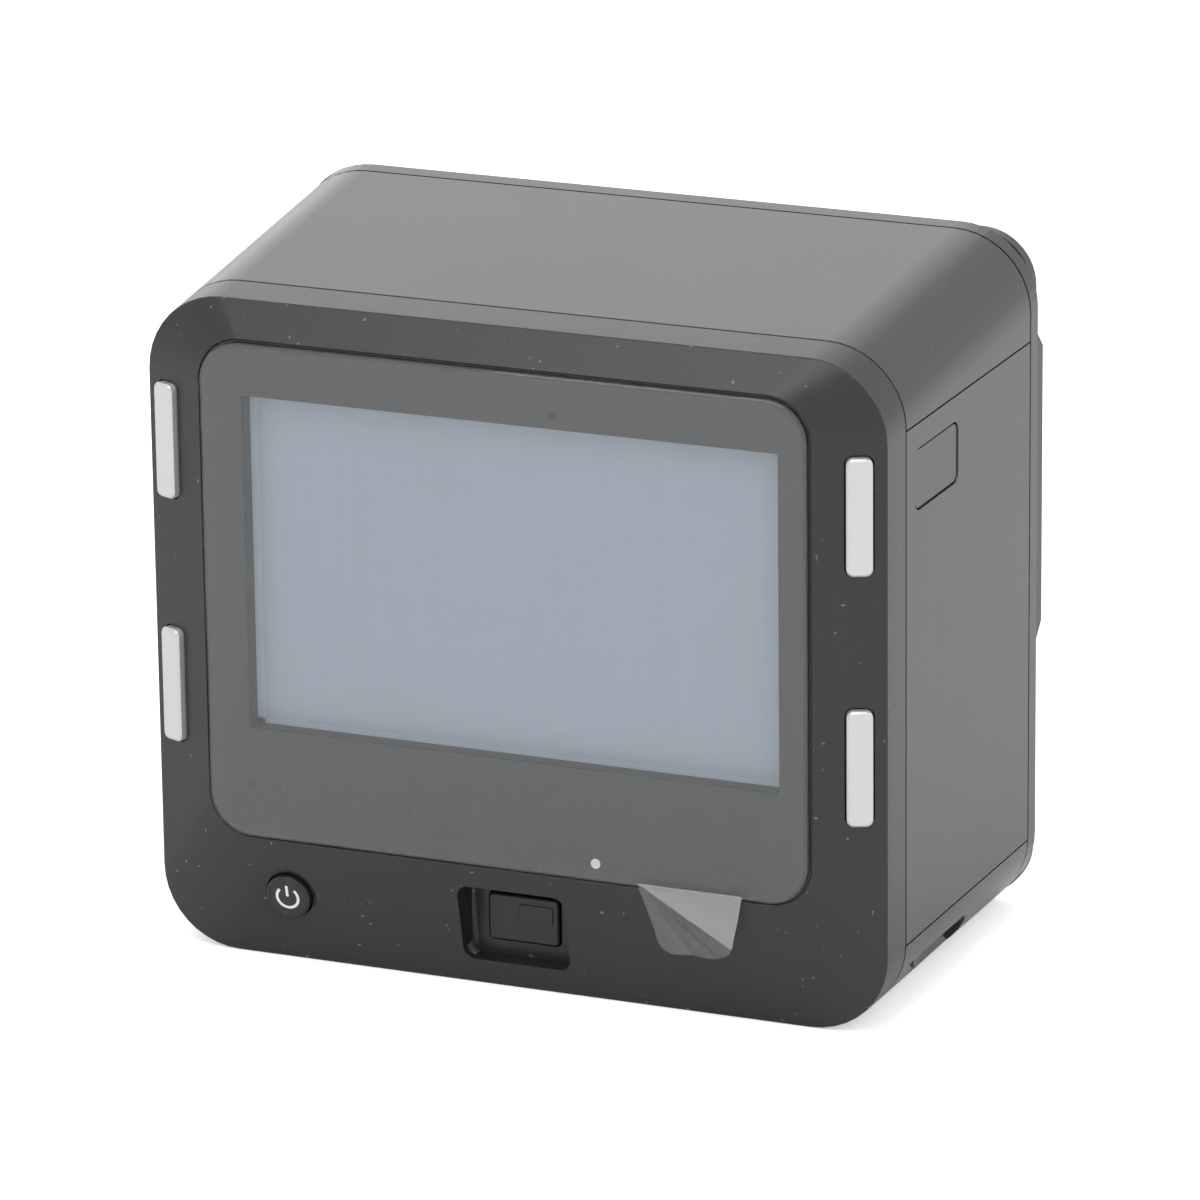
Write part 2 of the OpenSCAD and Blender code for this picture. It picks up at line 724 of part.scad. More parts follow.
module contact_room(from, to, grow) translate([battery_contact_x, battery_y + battery_t / 2, 0])
    along_z(from, to) centred(battery_contact_w + 2 * grow, battery_contact_t + 2 * grow, 1);
module battery_contacts() color("#26282a") placed() {
    contact_room(bay_top, bay_top + bay_wall + battery_contact_h, 0);
    for (n = [-2:2]) translate([battery_contact_x + blade_pitch * n, battery_y + battery_t / 2, 0])
        along_z(battery_top + battery_gap, bay_top + slice) square([blade_t, blade_w], center = true);
}

module battery_pack() color("#2b2c2e") placed() difference() {
    union() {
        battery_block(battery_z, battery_z + wall, 0);
        battery_block(battery_z, battery_top, case_step);
    }
    // Grooves for the finger that pulls the battery out
    for (n = [-2:2]) translate([grip_pitch * n, battery_y + battery_t / 2, battery_z])
        cube([grip_w, battery_t / 2, grip_deep], center = true);
}
module battery_block(from, to, inset) along_z(from, to) rounded(inset - battery_w / 2, battery_w / 2 - inset,
    battery_y + inset, battery_end - inset, bay_r);

// Section 4: sensor stack
module sensor_outline(inset) translate([0, window_z])
    centred(sensor_w - 2 * inset, sensor_h - 2 * inset, sensor_r);

module heat_spreader() color("#b9764a") placed() difference() {
    union() {
        along_y(mid_end, mid_end + spreader_t) sensor_outline(0);
        along_y(mid_end, sensor_board_y) sensor_outline(spreader_pad);
    }
    // Channels between the ribs
    for (n = [-3:3]) translate([rib_pitch * n, mid_end + spreader_t / 2, 0]) along_y(-spreader_t, rib_deep)
        translate([0, window_z]) square([rib_gap, 2 * sensor_h], center = true);
}

module sensor_board() color("#1f5a3c") placed() along_y(sensor_board_y, sensor_y) sensor_outline(-1);
module sensor_package() color("#2f3437") placed() difference() {
    along_y(sensor_y, gasket_y) sensor_outline(1);
    along_y(gasket_y - sensor_sunk, gasket_y + cut) translate([0, window_z]) centred(window_w, window_h, 0.5);
}
module sensor_gasket() color("#1a1a1a") placed() difference() {
    along_y(gasket_y, filter_y) sensor_outline(1);
    along_y(gasket_y - cut, filter_y + cut) translate([0, window_z]) centred(window_w, window_h, 0.5);
}
module filter_glass() color("#6fa0a8", 0.6) placed() along_y(filter_y, filter_end) sensor_outline(1);

// Section 5: camera side
module rear_frame() color("#6f7073") placed() difference() {
    body_form(shell_y + touch, ring_end, 0);
    along_y(shell_y - cut, ring_end + cut) rounded(ring_in - screw_x, screw_x - ring_in,
        screw_low + ring_r, screw_high, ring_r);
    frame_screw_row(shell_y - cut, ring_end + cut, screw_r + running_fit);
}

module mount_plate() color("#48494b") placed() {
    side = half_w(ring_end);
    difference() {
        union() {
            along_y(ring_end, plate_end) rounded(plate_inset - side, side - plate_inset, plate_inset,
                top_z(ring_end) - plate_inset, body_r - 3);
            for (s = [-1, 1], x = s * (side - block_in / 2)) along_x(x - block_in / 2, x + block_in / 2)
                side_block();
        }
        along_y(ring_end - cut, plate_end + cut) translate([0, window_z])
            centred(baffle_w + 2 * battery_gap, baffle_h + 2 * battery_gap, 3);
        for (x = [-dowel_x, dowel_x]) translate([x, 0, dowel_z]) along_y(ring_end - cut, plate_end + cut)
            circle(dowel_r);
        frame_screw_row(ring_end - cut, plate_end + cut, screw_r + running_fit);
        frame_screw_row(plate_end - screw_head_t, plate_end + cut, screw_head_r + head_gap);
    }
}
// Raised block at each side of the plate, with sloping ends
module side_block() {
    back = plate_end + block_out;
    slope = back - ring_end;
    low = block_z - block_h / 2;
    high = block_z + block_h / 2;
    polygon([[ring_end, low], [back, low + slope], [back, high - slope], [ring_end, high]]);
}

module light_baffle() color("#1f2022") placed() difference() {
    union() {
        along_y(filter_end + touch, rear_end) translate([0, window_z]) centred(baffle_w, baffle_h, baffle_r);
        along_y(plate_end, plate_end + rim_t) translate([0, window_z])
            centred(baffle_w + 2 * baffle_rim, baffle_h + 2 * baffle_rim, rim_r);
    }
    along_y(filter_end - cut, rear_end + cut) translate([0, window_z]) centred(window_w, window_h, 1);
}

module contact_block() color("#232426") placed() along_y(plate_end, contact_end) translate([0, contact_z])
    centred((contacts + 1) * contact_pitch, contact_h, contact_block_r);
module contact_pads() color("#d8b45a") placed() for (n = [0:contacts - 1])
    translate([(n - (contacts - 1) / 2) * contact_pitch, 0, contact_z])
        along_y(contact_end, contact_end + contact_out) circle(contact_r);

module frame_screws() color("#3a3a3a") placed() for (x = [-screw_x, screw_x], z = [screw_low, screw_high])
    translate([x, plate_end, z]) rotate([-90, 0, 0])
        screw(mid_end + boss_h - plate_end, -screw_head_t, 0, screw_r, screw_head_r);
module bottom_screws() color("#3a3a3a") placed() for (x = [-foot_screw_x, foot_screw_x])
    translate([x, foot_screw_y, head_sunk]) rotate([180, 0, 0])
        screw(-chassis_in - foot_bite, -screw_head_t, 0, screw_r, screw_head_r);

bezel();
cover_glass();
protective_film();
lcd_module();
display_board();
dome_switches();
key_upper_left();
key_lower_left();
key_upper_right();
key_lower_right();
power_button();
release_button();
latch_lever();
latch_pin();
chassis();
top_cover();
bottom_cover();
right_panel();
left_panel();
right_badge();
card_door();
card_door_pin();
port_door();
port_door_pin();
port_connector();
card_cage();
main_board();
board_screws();
battery_bay();
battery_contacts();
battery_pack();
heat_spreader();
sensor_board();
sensor_package();
sensor_gasket();
filter_glass();
rear_frame();
mount_plate();
light_baffle();
contact_block();
contact_pads();
frame_screws();
bottom_screws();
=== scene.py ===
"""Dresses the detachable digital back of a medium format camera for its render.

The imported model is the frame, and its boxes give the places. The pieces that the photograph shows
are modelled here from primitives: the bezel, the covers and the right panel, the keys, the power
button with its sign, the release plate, the display under its glass, and the film with its pull
tab. Every other solid of the frame stays, and gets a material.
"""
import json
import logging
import math
from collections.abc import Callable
from dataclasses import dataclass, field
from enum import Enum

import bpy
from mathutils import Matrix, Vector

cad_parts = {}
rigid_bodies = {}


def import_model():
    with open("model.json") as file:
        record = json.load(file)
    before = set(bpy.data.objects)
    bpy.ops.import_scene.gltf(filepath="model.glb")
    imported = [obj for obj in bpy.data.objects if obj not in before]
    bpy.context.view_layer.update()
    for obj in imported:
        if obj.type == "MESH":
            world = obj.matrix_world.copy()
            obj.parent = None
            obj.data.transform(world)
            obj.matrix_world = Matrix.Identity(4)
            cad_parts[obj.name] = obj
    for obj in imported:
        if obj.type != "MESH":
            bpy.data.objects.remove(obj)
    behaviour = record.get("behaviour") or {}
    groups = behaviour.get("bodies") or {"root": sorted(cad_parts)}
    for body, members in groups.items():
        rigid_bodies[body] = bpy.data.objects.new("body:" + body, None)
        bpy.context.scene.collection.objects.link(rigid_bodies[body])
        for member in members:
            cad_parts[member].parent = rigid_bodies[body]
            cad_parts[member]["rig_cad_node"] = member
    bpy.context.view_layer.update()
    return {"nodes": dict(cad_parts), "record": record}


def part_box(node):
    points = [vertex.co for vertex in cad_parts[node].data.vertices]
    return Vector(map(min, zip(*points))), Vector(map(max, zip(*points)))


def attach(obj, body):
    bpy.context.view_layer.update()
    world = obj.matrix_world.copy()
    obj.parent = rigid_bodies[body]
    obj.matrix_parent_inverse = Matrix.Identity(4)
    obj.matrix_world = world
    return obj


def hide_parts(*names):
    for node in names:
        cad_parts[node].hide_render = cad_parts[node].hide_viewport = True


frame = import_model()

MM = 0.001
UP = Vector((0, 0, 1))
LEFT = Vector((-1, 0, 0))
FACING_FRONT = (math.pi / 2, 0, 0)
WHITE = (1.0, 1.0, 1.0)
LOG = logging.getLogger("digital_back")
Number = float | int
Colour = tuple[float, float, float]


class Body(Enum):
    """Bodies of the frame that new pieces ride on."""

    HOUSING = "housing"
    POWER = "power_button"
    RELEASE = "release_button"
    KEY_UPPER_LEFT = "key_upper_left"
    KEY_LOWER_LEFT = "key_lower_left"
    KEY_UPPER_RIGHT = "key_upper_right"
    KEY_LOWER_RIGHT = "key_lower_right"


KEYS = (Body.KEY_UPPER_LEFT, Body.KEY_LOWER_LEFT, Body.KEY_UPPER_RIGHT, Body.KEY_LOWER_RIGHT)


class Joining(Enum):
    """What a tool does to the piece that it meets."""

    CUT = "DIFFERENCE"
    FUSE = "UNION"


class Wire:
    """One shader socket, with arithmetic that adds Math nodes."""

    def __init__(self, recipe: "Recipe", socket: bpy.types.NodeSocket) -> None:
        """Holds the socket and the recipe that it belongs to."""
        self.recipe = recipe
        self.socket = socket

    def _math(self, operation: str, *values: "Wire | Number") -> "Wire":
        """Adds one Math node.

        Args:
            operation: name of the Math node's operation.
            *values: its inputs, wires or numbers.

        Returns:
            The wire of the result.
        """
        return self.recipe.node("ShaderNodeMath", {"operation": operation}, dict(enumerate(values)))

    def __add__(self, other: "Wire | Number") -> "Wire":
        """Sum."""
        return self._math("ADD", self, other)

    __radd__ = __add__

    def __sub__(self, other: "Wire | Number") -> "Wire":
        """Difference."""
        return self._math("SUBTRACT", self, other)

    def __rsub__(self, other: Number) -> "Wire":
        """Difference from a number."""
        return self._math("SUBTRACT", other, self)

    def __mul__(self, other: "Wire | Number") -> "Wire":
        """Product."""
        return self._math("MULTIPLY", self, other)

    __rmul__ = __mul__

    def __gt__(self, other: "Wire | Number") -> "Wire":
        """1 where this is more than the other, else 0."""
        return self._math("GREATER_THAN", self, other)

    def __pow__(self, other: Number) -> "Wire":
        """Power."""
        return self._math("POWER", self, other)

    def clamped(self) -> "Wire":
        """Value held between 0 and 1."""
        return self.recipe.node("ShaderNodeClamp", {}, {"Value": self}, "Result")


class Recipe:
    """Node tree of a material or of the world, built up node by node."""

    def __init__(
        self, owner: bpy.types.Material | bpy.types.World, output: str = "ShaderNodeOutputMaterial"
    ) -> None:
        """Empties the node tree.

        Args:
            owner: the new material or world.
            output: type name of its output node.
        """
        self.owner = owner
        owner.use_nodes = True
        self.tree = owner.node_tree
        self.tree.nodes.clear()
        self.output = self.tree.nodes.new(output)

    def node(
        self,
        kind: str,
        settings: dict[str, object],
        inputs: "dict[str | int, Wire | Number | tuple]",
        result: str | int = 0,
    ) -> Wire:
        """Adds a node with its settings and inputs.

        Args:
            kind: the node's type name.
            settings: attributes of the node.
            inputs: socket name or number to a wire or a value.
            result: name or number of the output wanted.

        Returns:
            The wire of that output.
        """
        node = self.tree.nodes.new(kind)
        for key, value in settings.items():
            setattr(node, key, value)
        for key, value in inputs.items():
            if isinstance(value, Wire):
                self.tree.links.new(value.socket, node.inputs[key])
            else:
                node.inputs[key].default_value = value
        return Wire(self, node.outputs[result])

    def noise(self, scale: float, detail: float = 2.0, stretch: Colour = WHITE) -> Wire:
        """Grey noise over the surface, in Object coordinates.

        Args:
            scale: patches per metre.
            detail: octaves of the noise.
            stretch: scale along each axis.

        Returns:
            The noise, about 0.5 in the mean.
        """
        place = self.node("ShaderNodeTexCoord", {}, {}, "Object")
        spot = self.node("ShaderNodeMapping", {}, {"Vector": place, "Scale": stretch})
        return self.node("ShaderNodeTexNoise", {}, {"Vector": spot, "Scale": scale, "Detail": detail})

    def blend(self, factor: Wire, low: "Colour | Wire", high: "Colour | Wire") -> Wire:
        """Colour between two, by a factor.

        Args:
            factor: 0 for the first colour and 1 for the second.
            low: first colour.
            high: second colour.

        Returns:
            The blended colour.
        """
        first, second = (end if isinstance(end, Wire) else (*end, 1.0) for end in (low, high))
        return self.node("ShaderNodeMix", {"data_type": "RGBA"}, {0: factor, 6: first, 7: second}, 2)

    def bump(self, height: Wire, depth: float) -> Wire:
        """Normal of a surface with that height over it.

        Args:
            height: height from 0 to 1.
            depth: height of 1, in metres.

        Returns:
            The normal.
        """
        return self.node("ShaderNodeBump", {}, {"Height": height, "Distance": depth})

    def surface(self, **sockets: "Wire | Number | tuple") -> Wire:
        """Principled surface.

        Args:
            **sockets: values by socket name, with _ for a space.

        Returns:
            The wire of the shader.
        """
        inputs = {key.replace("_", " "): value for key, value in sockets.items()}
        return self.node("ShaderNodeBsdfPrincipled", {}, inputs)

    def done(self, shader: Wire) -> bpy.types.Material | bpy.types.World:
        """Joins the shader to the output and returns the material or the world."""
        self.tree.links.new(shader.socket, self.output.inputs["Surface"])
        return self.owner


def shade(colour: Colour, by: float) -> Colour:
    """The colour, made lighter or darker by a factor."""
    return tuple(part * by for part in colour)


@dataclass(frozen=True)
class SatinPaint:
    """Satin paint, plastic or anodising with a fine grain, and specks of dust on it."""

    FINE = 5200.0
    BROAD = 55.0
    SPECKS = 1500.0
    SPECKS_FROM = 0.82
    SPECKS_EDGE = 20.0
    SPECK_TONE = (0.5, 0.5, 0.48)

    name: str
    colour: Colour
    roughness: float
    grain: float
    metallic: float = 0.0
    specular: float = 0.5
    bump: float = 4e-6
    dust: float = 0.0

    def material(self) -> bpy.types.Material:
        """Builds the material."""
        recipe = Recipe(bpy.data.materials.new(self.name))
        fine = recipe.noise(self.FINE, 1.0)
        broad = recipe.noise(self.BROAD, 3.0)
        dark, light = shade(self.colour, 1 - self.grain), shade(self.colour, 1 + self.grain)
        tone = recipe.blend(fine * 0.6 + broad * 0.4, dark, light)
        if self.dust:
            specks = ((recipe.noise(self.SPECKS, 0.0) - self.SPECKS_FROM) * self.SPECKS_EDGE).clamped()
            tone = recipe.blend(specks * self.dust, tone, self.SPECK_TONE)
        return recipe.done(recipe.surface(
            Base_Color=tone,
            Roughness=self.roughness + (broad - 0.5) * 0.08 + (fine - 0.5) * 0.06,
            Metallic=self.metallic,
            Specular_IOR_Level=self.specular,
            Normal=recipe.bump(fine, self.bump),
        ))


@dataclass(frozen=True)
class Metal:
    """Bare metal with fine lines from machining, upright ones."""

    LINES = 9000.0
    STRETCH = (1.0, 1.0, 0.05)
    BROAD = 150.0
    LINE_DEEP = 1.5e-6

    name: str
    colour: Colour
    roughness: float = 0.3

    def material(self) -> bpy.types.Material:
        """Builds the material."""
        recipe = Recipe(bpy.data.materials.new(self.name))
        lines = recipe.noise(self.LINES, 2.0, self.STRETCH)
        broad = recipe.noise(self.BROAD, 2.0)
        return recipe.done(recipe.surface(
            Base_Color=recipe.blend(lines * 0.5 + broad * 0.5, shade(self.colour, 0.88), self.colour),
            Roughness=self.roughness + (lines - 0.5) * 0.16 + (broad - 0.5) * 0.06,
            Metallic=1.0,
            Normal=recipe.bump(lines, self.LINE_DEEP),
        ))


@dataclass(frozen=True)
class ClearSheet:
    """Clear glass or film: it lets light straight through, and mirrors more at a slant."""

    MIRROR = (0.9, 0.92, 0.93, 1.0)
    HEAD_ON = 0.04
    WRINKLES = 260.0
    STRETCH = (0.6, 1.0, 1.6)

    name: str
    gloss: float = 1.0
    roughness: float = 0.03
    crease: float = 0.0
    haze: float = 0.0

    def material(self) -> bpy.types.Material:
        """Builds the material."""
        recipe = Recipe(bpy.data.materials.new(self.name))
        normal: dict[str, Wire] = {}
        if self.crease:
            normal = {"Normal": recipe.bump(recipe.noise(self.WRINKLES, 2.0, self.STRETCH), self.crease)}
        clear = recipe.node("ShaderNodeBsdfTransparent", {}, {"Color": (*WHITE, 1.0)})
        mirror = recipe.surface(Base_Color=self.MIRROR, Metallic=1.0, Roughness=self.roughness, **normal)
        slant = recipe.node("ShaderNodeLayerWeight", {}, {"Blend": 0.5, **normal}, "Facing")
        share = ((slant ** 5.0 * (1 - self.HEAD_ON) + self.HEAD_ON) * self.gloss + self.haze).clamped()
        return recipe.done(recipe.node("ShaderNodeMixShader", {}, {0: share, 1: clear, 2: mirror}))


@dataclass(frozen=True)
class DisplayPanel:
    """Display that is switched off: blue-grey, with a faint weave of its cells."""

    CELLS = 1500.0
    ALONG_X = (0.02, 1.0, 1.0)
    ALONG_Z = (1.0, 1.0, 0.02)
    BROAD = 24.0

    name: str
    colour: Colour

    def material(self) -> bpy.types.Material:
        """Builds the material."""
        recipe = Recipe(bpy.data.materials.new(self.name))
        columns = recipe.noise(self.CELLS, 1.0, self.ALONG_Z)
        rows = recipe.noise(self.CELLS, 1.0, self.ALONG_X)
        broad = recipe.noise(self.BROAD, 1.0)
        weave = columns * 0.35 + rows * 0.35 + broad * 0.3
        return recipe.done(recipe.surface(
            Base_Color=recipe.blend(weave, shade(self.colour, 0.9), shade(self.colour, 1.08)),
            Roughness=0.34 + (broad - 0.5) * 0.05,
        ))


@dataclass(frozen=True)
class CircuitBoard:
    """Solder mask with tracks under it."""

    TRACKS = 420.0
    STRETCH = (1.0, 1.0, 0.25)
    TRACK_DEEP = 2e-5

    name: str
    colour: Colour

    def material(self) -> bpy.types.Material:
        """Builds the material."""
        recipe = Recipe(bpy.data.materials.new(self.name))
        tracks = recipe.noise(self.TRACKS, 0.0, self.STRETCH) > 0.52
        return recipe.done(recipe.surface(
            Base_Color=recipe.blend(tracks, self.colour, shade(self.colour, 1.7)),
            Roughness=0.3 + tracks * 0.1,
            Normal=recipe.bump(tracks, self.TRACK_DEEP),
        ))


FINISHES = (
    SatinPaint("front_moulding", (0.014, 0.015, 0.017), 0.30, 0.16, dust=0.25),
    SatinPaint("satin_shell", (0.032, 0.032, 0.034), 0.24, 0.10, dust=0.1),
    ClearSheet("display_glass"),
    ClearSheet("film_sheet", gloss=0.35),
    ClearSheet("film_cloud", gloss=0.9, roughness=0.3, haze=0.14),
    ClearSheet("clear_film", gloss=1.1, roughness=0.06, crease=1.2e-5, haze=0.01),
    DisplayPanel("display_panel", (0.275, 0.340, 0.410)),
    SatinPaint("silver_key", (0.58, 0.58, 0.575), 0.36, 0.05, metallic=0.55),
    SatinPaint("button_black", (0.016, 0.016, 0.017), 0.32, 0.10),
    SatinPaint("badge_plate", (0.030, 0.030, 0.032), 0.26, 0.10),
    Metal("plated_steel", (0.62, 0.62, 0.63)),
    SatinPaint("cast_frame", (0.20, 0.20, 0.21), 0.5, 0.2, metallic=0.8, bump=1e-5),
    CircuitBoard("circuit_board", (0.02, 0.10, 0.05)),
    SatinPaint("inner_moulding", (0.014, 0.014, 0.015), 0.55, 0.15),
    SatinPaint("battery_case", (0.022, 0.022, 0.023), 0.5, 0.15, bump=1.2e-5),
    Metal("copper_plate", (0.72, 0.40, 0.25), 0.35),
    SatinPaint("sensor_ceramic", (0.03, 0.033, 0.036), 0.45, 0.1),
    SatinPaint("seal_rubber", (0.012, 0.012, 0.012), 0.7, 0.2),
    SatinPaint("filter_glass", (0.05, 0.12, 0.13), 0.08, 0.03, specular=0.8, bump=0.0),
    SatinPaint("mount_metal", (0.022, 0.022, 0.023), 0.40, 0.10),
    Metal("gold_contact", (0.85, 0.62, 0.24), 0.22),
    Metal("black_screw", (0.06, 0.06, 0.06), 0.35),
    SatinPaint("mask_black", (0.012, 0.012, 0.013), 0.5, 0.03, bump=0.0),
    SatinPaint("display_edge", (0.35, 0.42, 0.49), 0.4, 0.04, bump=0.0),
    SatinPaint("status_light", (0.55, 0.57, 0.58), 0.5, 0.04, bump=0.0),
    SatinPaint("sensor_spot", (0.045, 0.018, 0.016), 0.3, 0.04, bump=0.0),
    SatinPaint("sensor_dark", (0.006, 0.006, 0.006), 0.2, 0.04, bump=0.0),
    SatinPaint("white_print", (0.75, 0.75, 0.74), 0.5, 0.04, bump=0.0),
    SatinPaint("gloss_black", (0.012, 0.012, 0.013), 0.12, 0.04, bump=0.0),
)


class Bench:
    """Modelling steps shared by all pieces, each made of operators."""

    SHARP = 32.0

    @staticmethod
    def clear_selection() -> None:
        """Leaves edit mode and deselects every object."""
        if bpy.context.object and bpy.context.object.mode != "OBJECT":
            bpy.ops.object.mode_set(mode="OBJECT")
        bpy.ops.object.select_all(action="DESELECT")

    @classmethod
    def take(cls, piece: bpy.types.Object) -> None:
        """Makes one object the only selected and the active one.

        Args:
            piece: the object.
        """
        cls.clear_selection()
        piece.select_set(True)
        bpy.context.view_layer.objects.active = piece

    @classmethod
    def edit(cls, piece: bpy.types.Object, action: str = "SELECT") -> None:
        """Enters edit mode with every point selected, or none.

        Args:
            piece: the object.
            action: SELECT or DESELECT.
        """
        cls.take(piece)
        bpy.ops.object.mode_set(mode="EDIT")
        bpy.ops.mesh.select_mode(type="VERT")
        bpy.ops.mesh.select_all(action=action)

    @classmethod
    def pick(cls, piece: bpy.types.Object, wanted: Callable[[bpy.types.MeshVertex], bool]) -> None:
        """Enters edit mode with some points selected.

        Args:
            piece: the object.
            wanted: tells whether a point is to be selected.
        """
        cls.edit(piece, "DESELECT")
        bpy.ops.object.mode_set(mode="OBJECT")
        for vertex in piece.data.vertices:
            vertex.select = wanted(vertex)
        bpy.ops.object.mode_set(mode="EDIT")

    @classmethod
    def settle(cls, piece: bpy.types.Object, name: str) -> bpy.types.Object:
        """Names a piece and puts its place into its mesh.

        Args:
            piece: the new object.
            name: its name.

        Returns:
            The same object, at the origin.
        """
        cls.take(piece)
        bpy.ops.object.transform_apply(location=True, rotation=True, scale=True)
        piece.name = name
        piece.data.name = name
        return piece

    @classmethod
    def copy(cls, piece: bpy.types.Object, name: str) -> bpy.types.Object:
        """Copies a piece, with a mesh of its own.

        Args:
            piece: the object.
            name: name of the copy.

        Returns:
            The copy.
        """
        cls.take(piece)
        bpy.ops.object.duplicate(linked=False)
        return cls.settle(bpy.context.object, name)

    @classmethod
    def delete(cls, piece: bpy.types.Object) -> None:
        """Deletes an object."""
        cls.take(piece)
        bpy.ops.object.delete()

    @classmethod
    def cylinder(
        cls, name: str, radius: float, length: float, front: float, facets: int = 96
    ) -> bpy.types.Object:
        """Adds a round bar along Y, at the origin across and in height.

        Args:
            name: its name.
            radius: its radius.
            length: its length.
            front: depth of its front.
            facets: number of its sides.

        Returns:
            The bar.
        """
        cls.clear_selection()
        bpy.ops.mesh.primitive_cylinder_add(vertices=facets, radius=radius, depth=length,
                                            rotation=FACING_FRONT, location=(0, front + length / 2, 0))
        return cls.settle(bpy.context.object, name)

    @classmethod
    def finish_with(cls, piece: bpy.types.Object, kind: str, **settings: object) -> None:
        """Adds a modifier with its settings and applies it.

        Args:
            piece: the object.
            kind: the modifier's type.
            **settings: its attributes.
        """
        cls.take(piece)
        modifier = piece.modifiers.new(kind.lower(), kind)
        for key, value in settings.items():
            setattr(modifier, key, value)
        bpy.ops.object.modifier_apply(modifier=modifier.name)

    @classmethod
    def soften(cls, piece: bpy.types.Object, width: float, segments: int = 2, angle: float = SHARP) -> None:
        """Rounds the sharp edges of a piece and shades the rest smooth.

        Args:
            piece: the object.
            width: width of the rounding, in metres.
            segments: facets across the rounding.
            angle: least angle of a sharp edge, in degrees.
        """
        cls.finish_with(piece, "BEVEL", width=width, segments=segments, limit_method="ANGLE",
                        angle_limit=math.radians(angle), use_clamp_overlap=True, miter_outer="MITER_ARC")
        cls.smooth(piece, angle)

    @classmethod
    def smooth(cls, piece: bpy.types.Object, angle: float = SHARP) -> None:
        """Shades a piece smooth except over sharp edges, and keeps its flat faces even.

        Args:
            piece: the object.
            angle: least angle of a sharp edge, in degrees.
        """
        cls.take(piece)
        bpy.ops.object.shade_smooth_by_angle(angle=math.radians(angle))
        cls.finish_with(piece, "WEIGHTED_NORMAL", keep_sharp=True, weight=80)


class Wardrobe:
    """Materials of the object, and the last step of every piece."""

    def __init__(self) -> None:
        """Builds every material once, and reads the slots of the record."""
        self.materials = {finish.name: finish.material() for finish in FINISHES}
        self.slot_of = {row["node"]: row["material_slot"] for row in frame["record"]["subparts"]}

    def dress(self, piece: bpy.types.Object, slot: str) -> None:
        """Gives a piece one of the materials.

        Args:
            piece: the object.
            slot: name of a material slot of the record, or of a finish that only the scene has.
        """
        piece.data.materials.clear()
        piece.data.materials.append(self.materials[slot])
        "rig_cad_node" not in piece and slot in self.slot_of.values()

    def dress_node(self, node: str) -> None:
        """Gives a solid of the frame the material of its own slot."""
        self.dress(frame["nodes"][node], self.slot_of[node])

    def fit(self, piece: bpy.types.Object, body: Body, slot: str, node: str = "") -> bpy.types.Object:
        """Fixes a finished piece to its body and dresses it.

        Args:
            piece: the object.
            body: the body that it rides on.
            slot: its material.
            node: the solid that it takes the place of, if any.

        Returns:
            The same object.
        """
        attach(piece, body.value)
        if node:
            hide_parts(node)
        self.dress(piece, slot)
        return piece


@dataclass(frozen=True)
class Outline:
    """Upright rectangle with round corners, from its edges, in metres."""

    LEAST_R = 0.05 * MM

    left: float
    right: float
    low: float
    high: float
    radius: float = LEAST_R

    @classmethod
    def centred(cls, width: float, height: float, radius: float) -> "Outline":
        """Outline about the origin."""
        return cls(-width / 2, width / 2, -height / 2, height / 2, radius)

    def inset(self, by: float) -> "Outline":
        """The same outline with every edge moved inwards."""
        return Outline(self.left + by, self.right - by, self.low + by, self.high - by,
                       max(self.radius - by, self.LEAST_R))


@dataclass(frozen=True)
class Seat:
    """Local frame of a small part: its Y axis goes into the body."""

    origin: Vector
    turn: tuple[float, float, float] = (0.0, 0.0, 0.0)

    def take(self, piece: bpy.types.Object) -> bpy.types.Object:
        """Moves a piece drawn at the origin to this seat, within its mesh.

        Args:
            piece: the object.

        Returns:
            The same object.
        """
        Bench.take(piece)
        piece.rotation_euler = self.turn
        piece.location = self.origin
        bpy.ops.object.transform_apply(location=True, rotation=True, scale=True)
        return piece


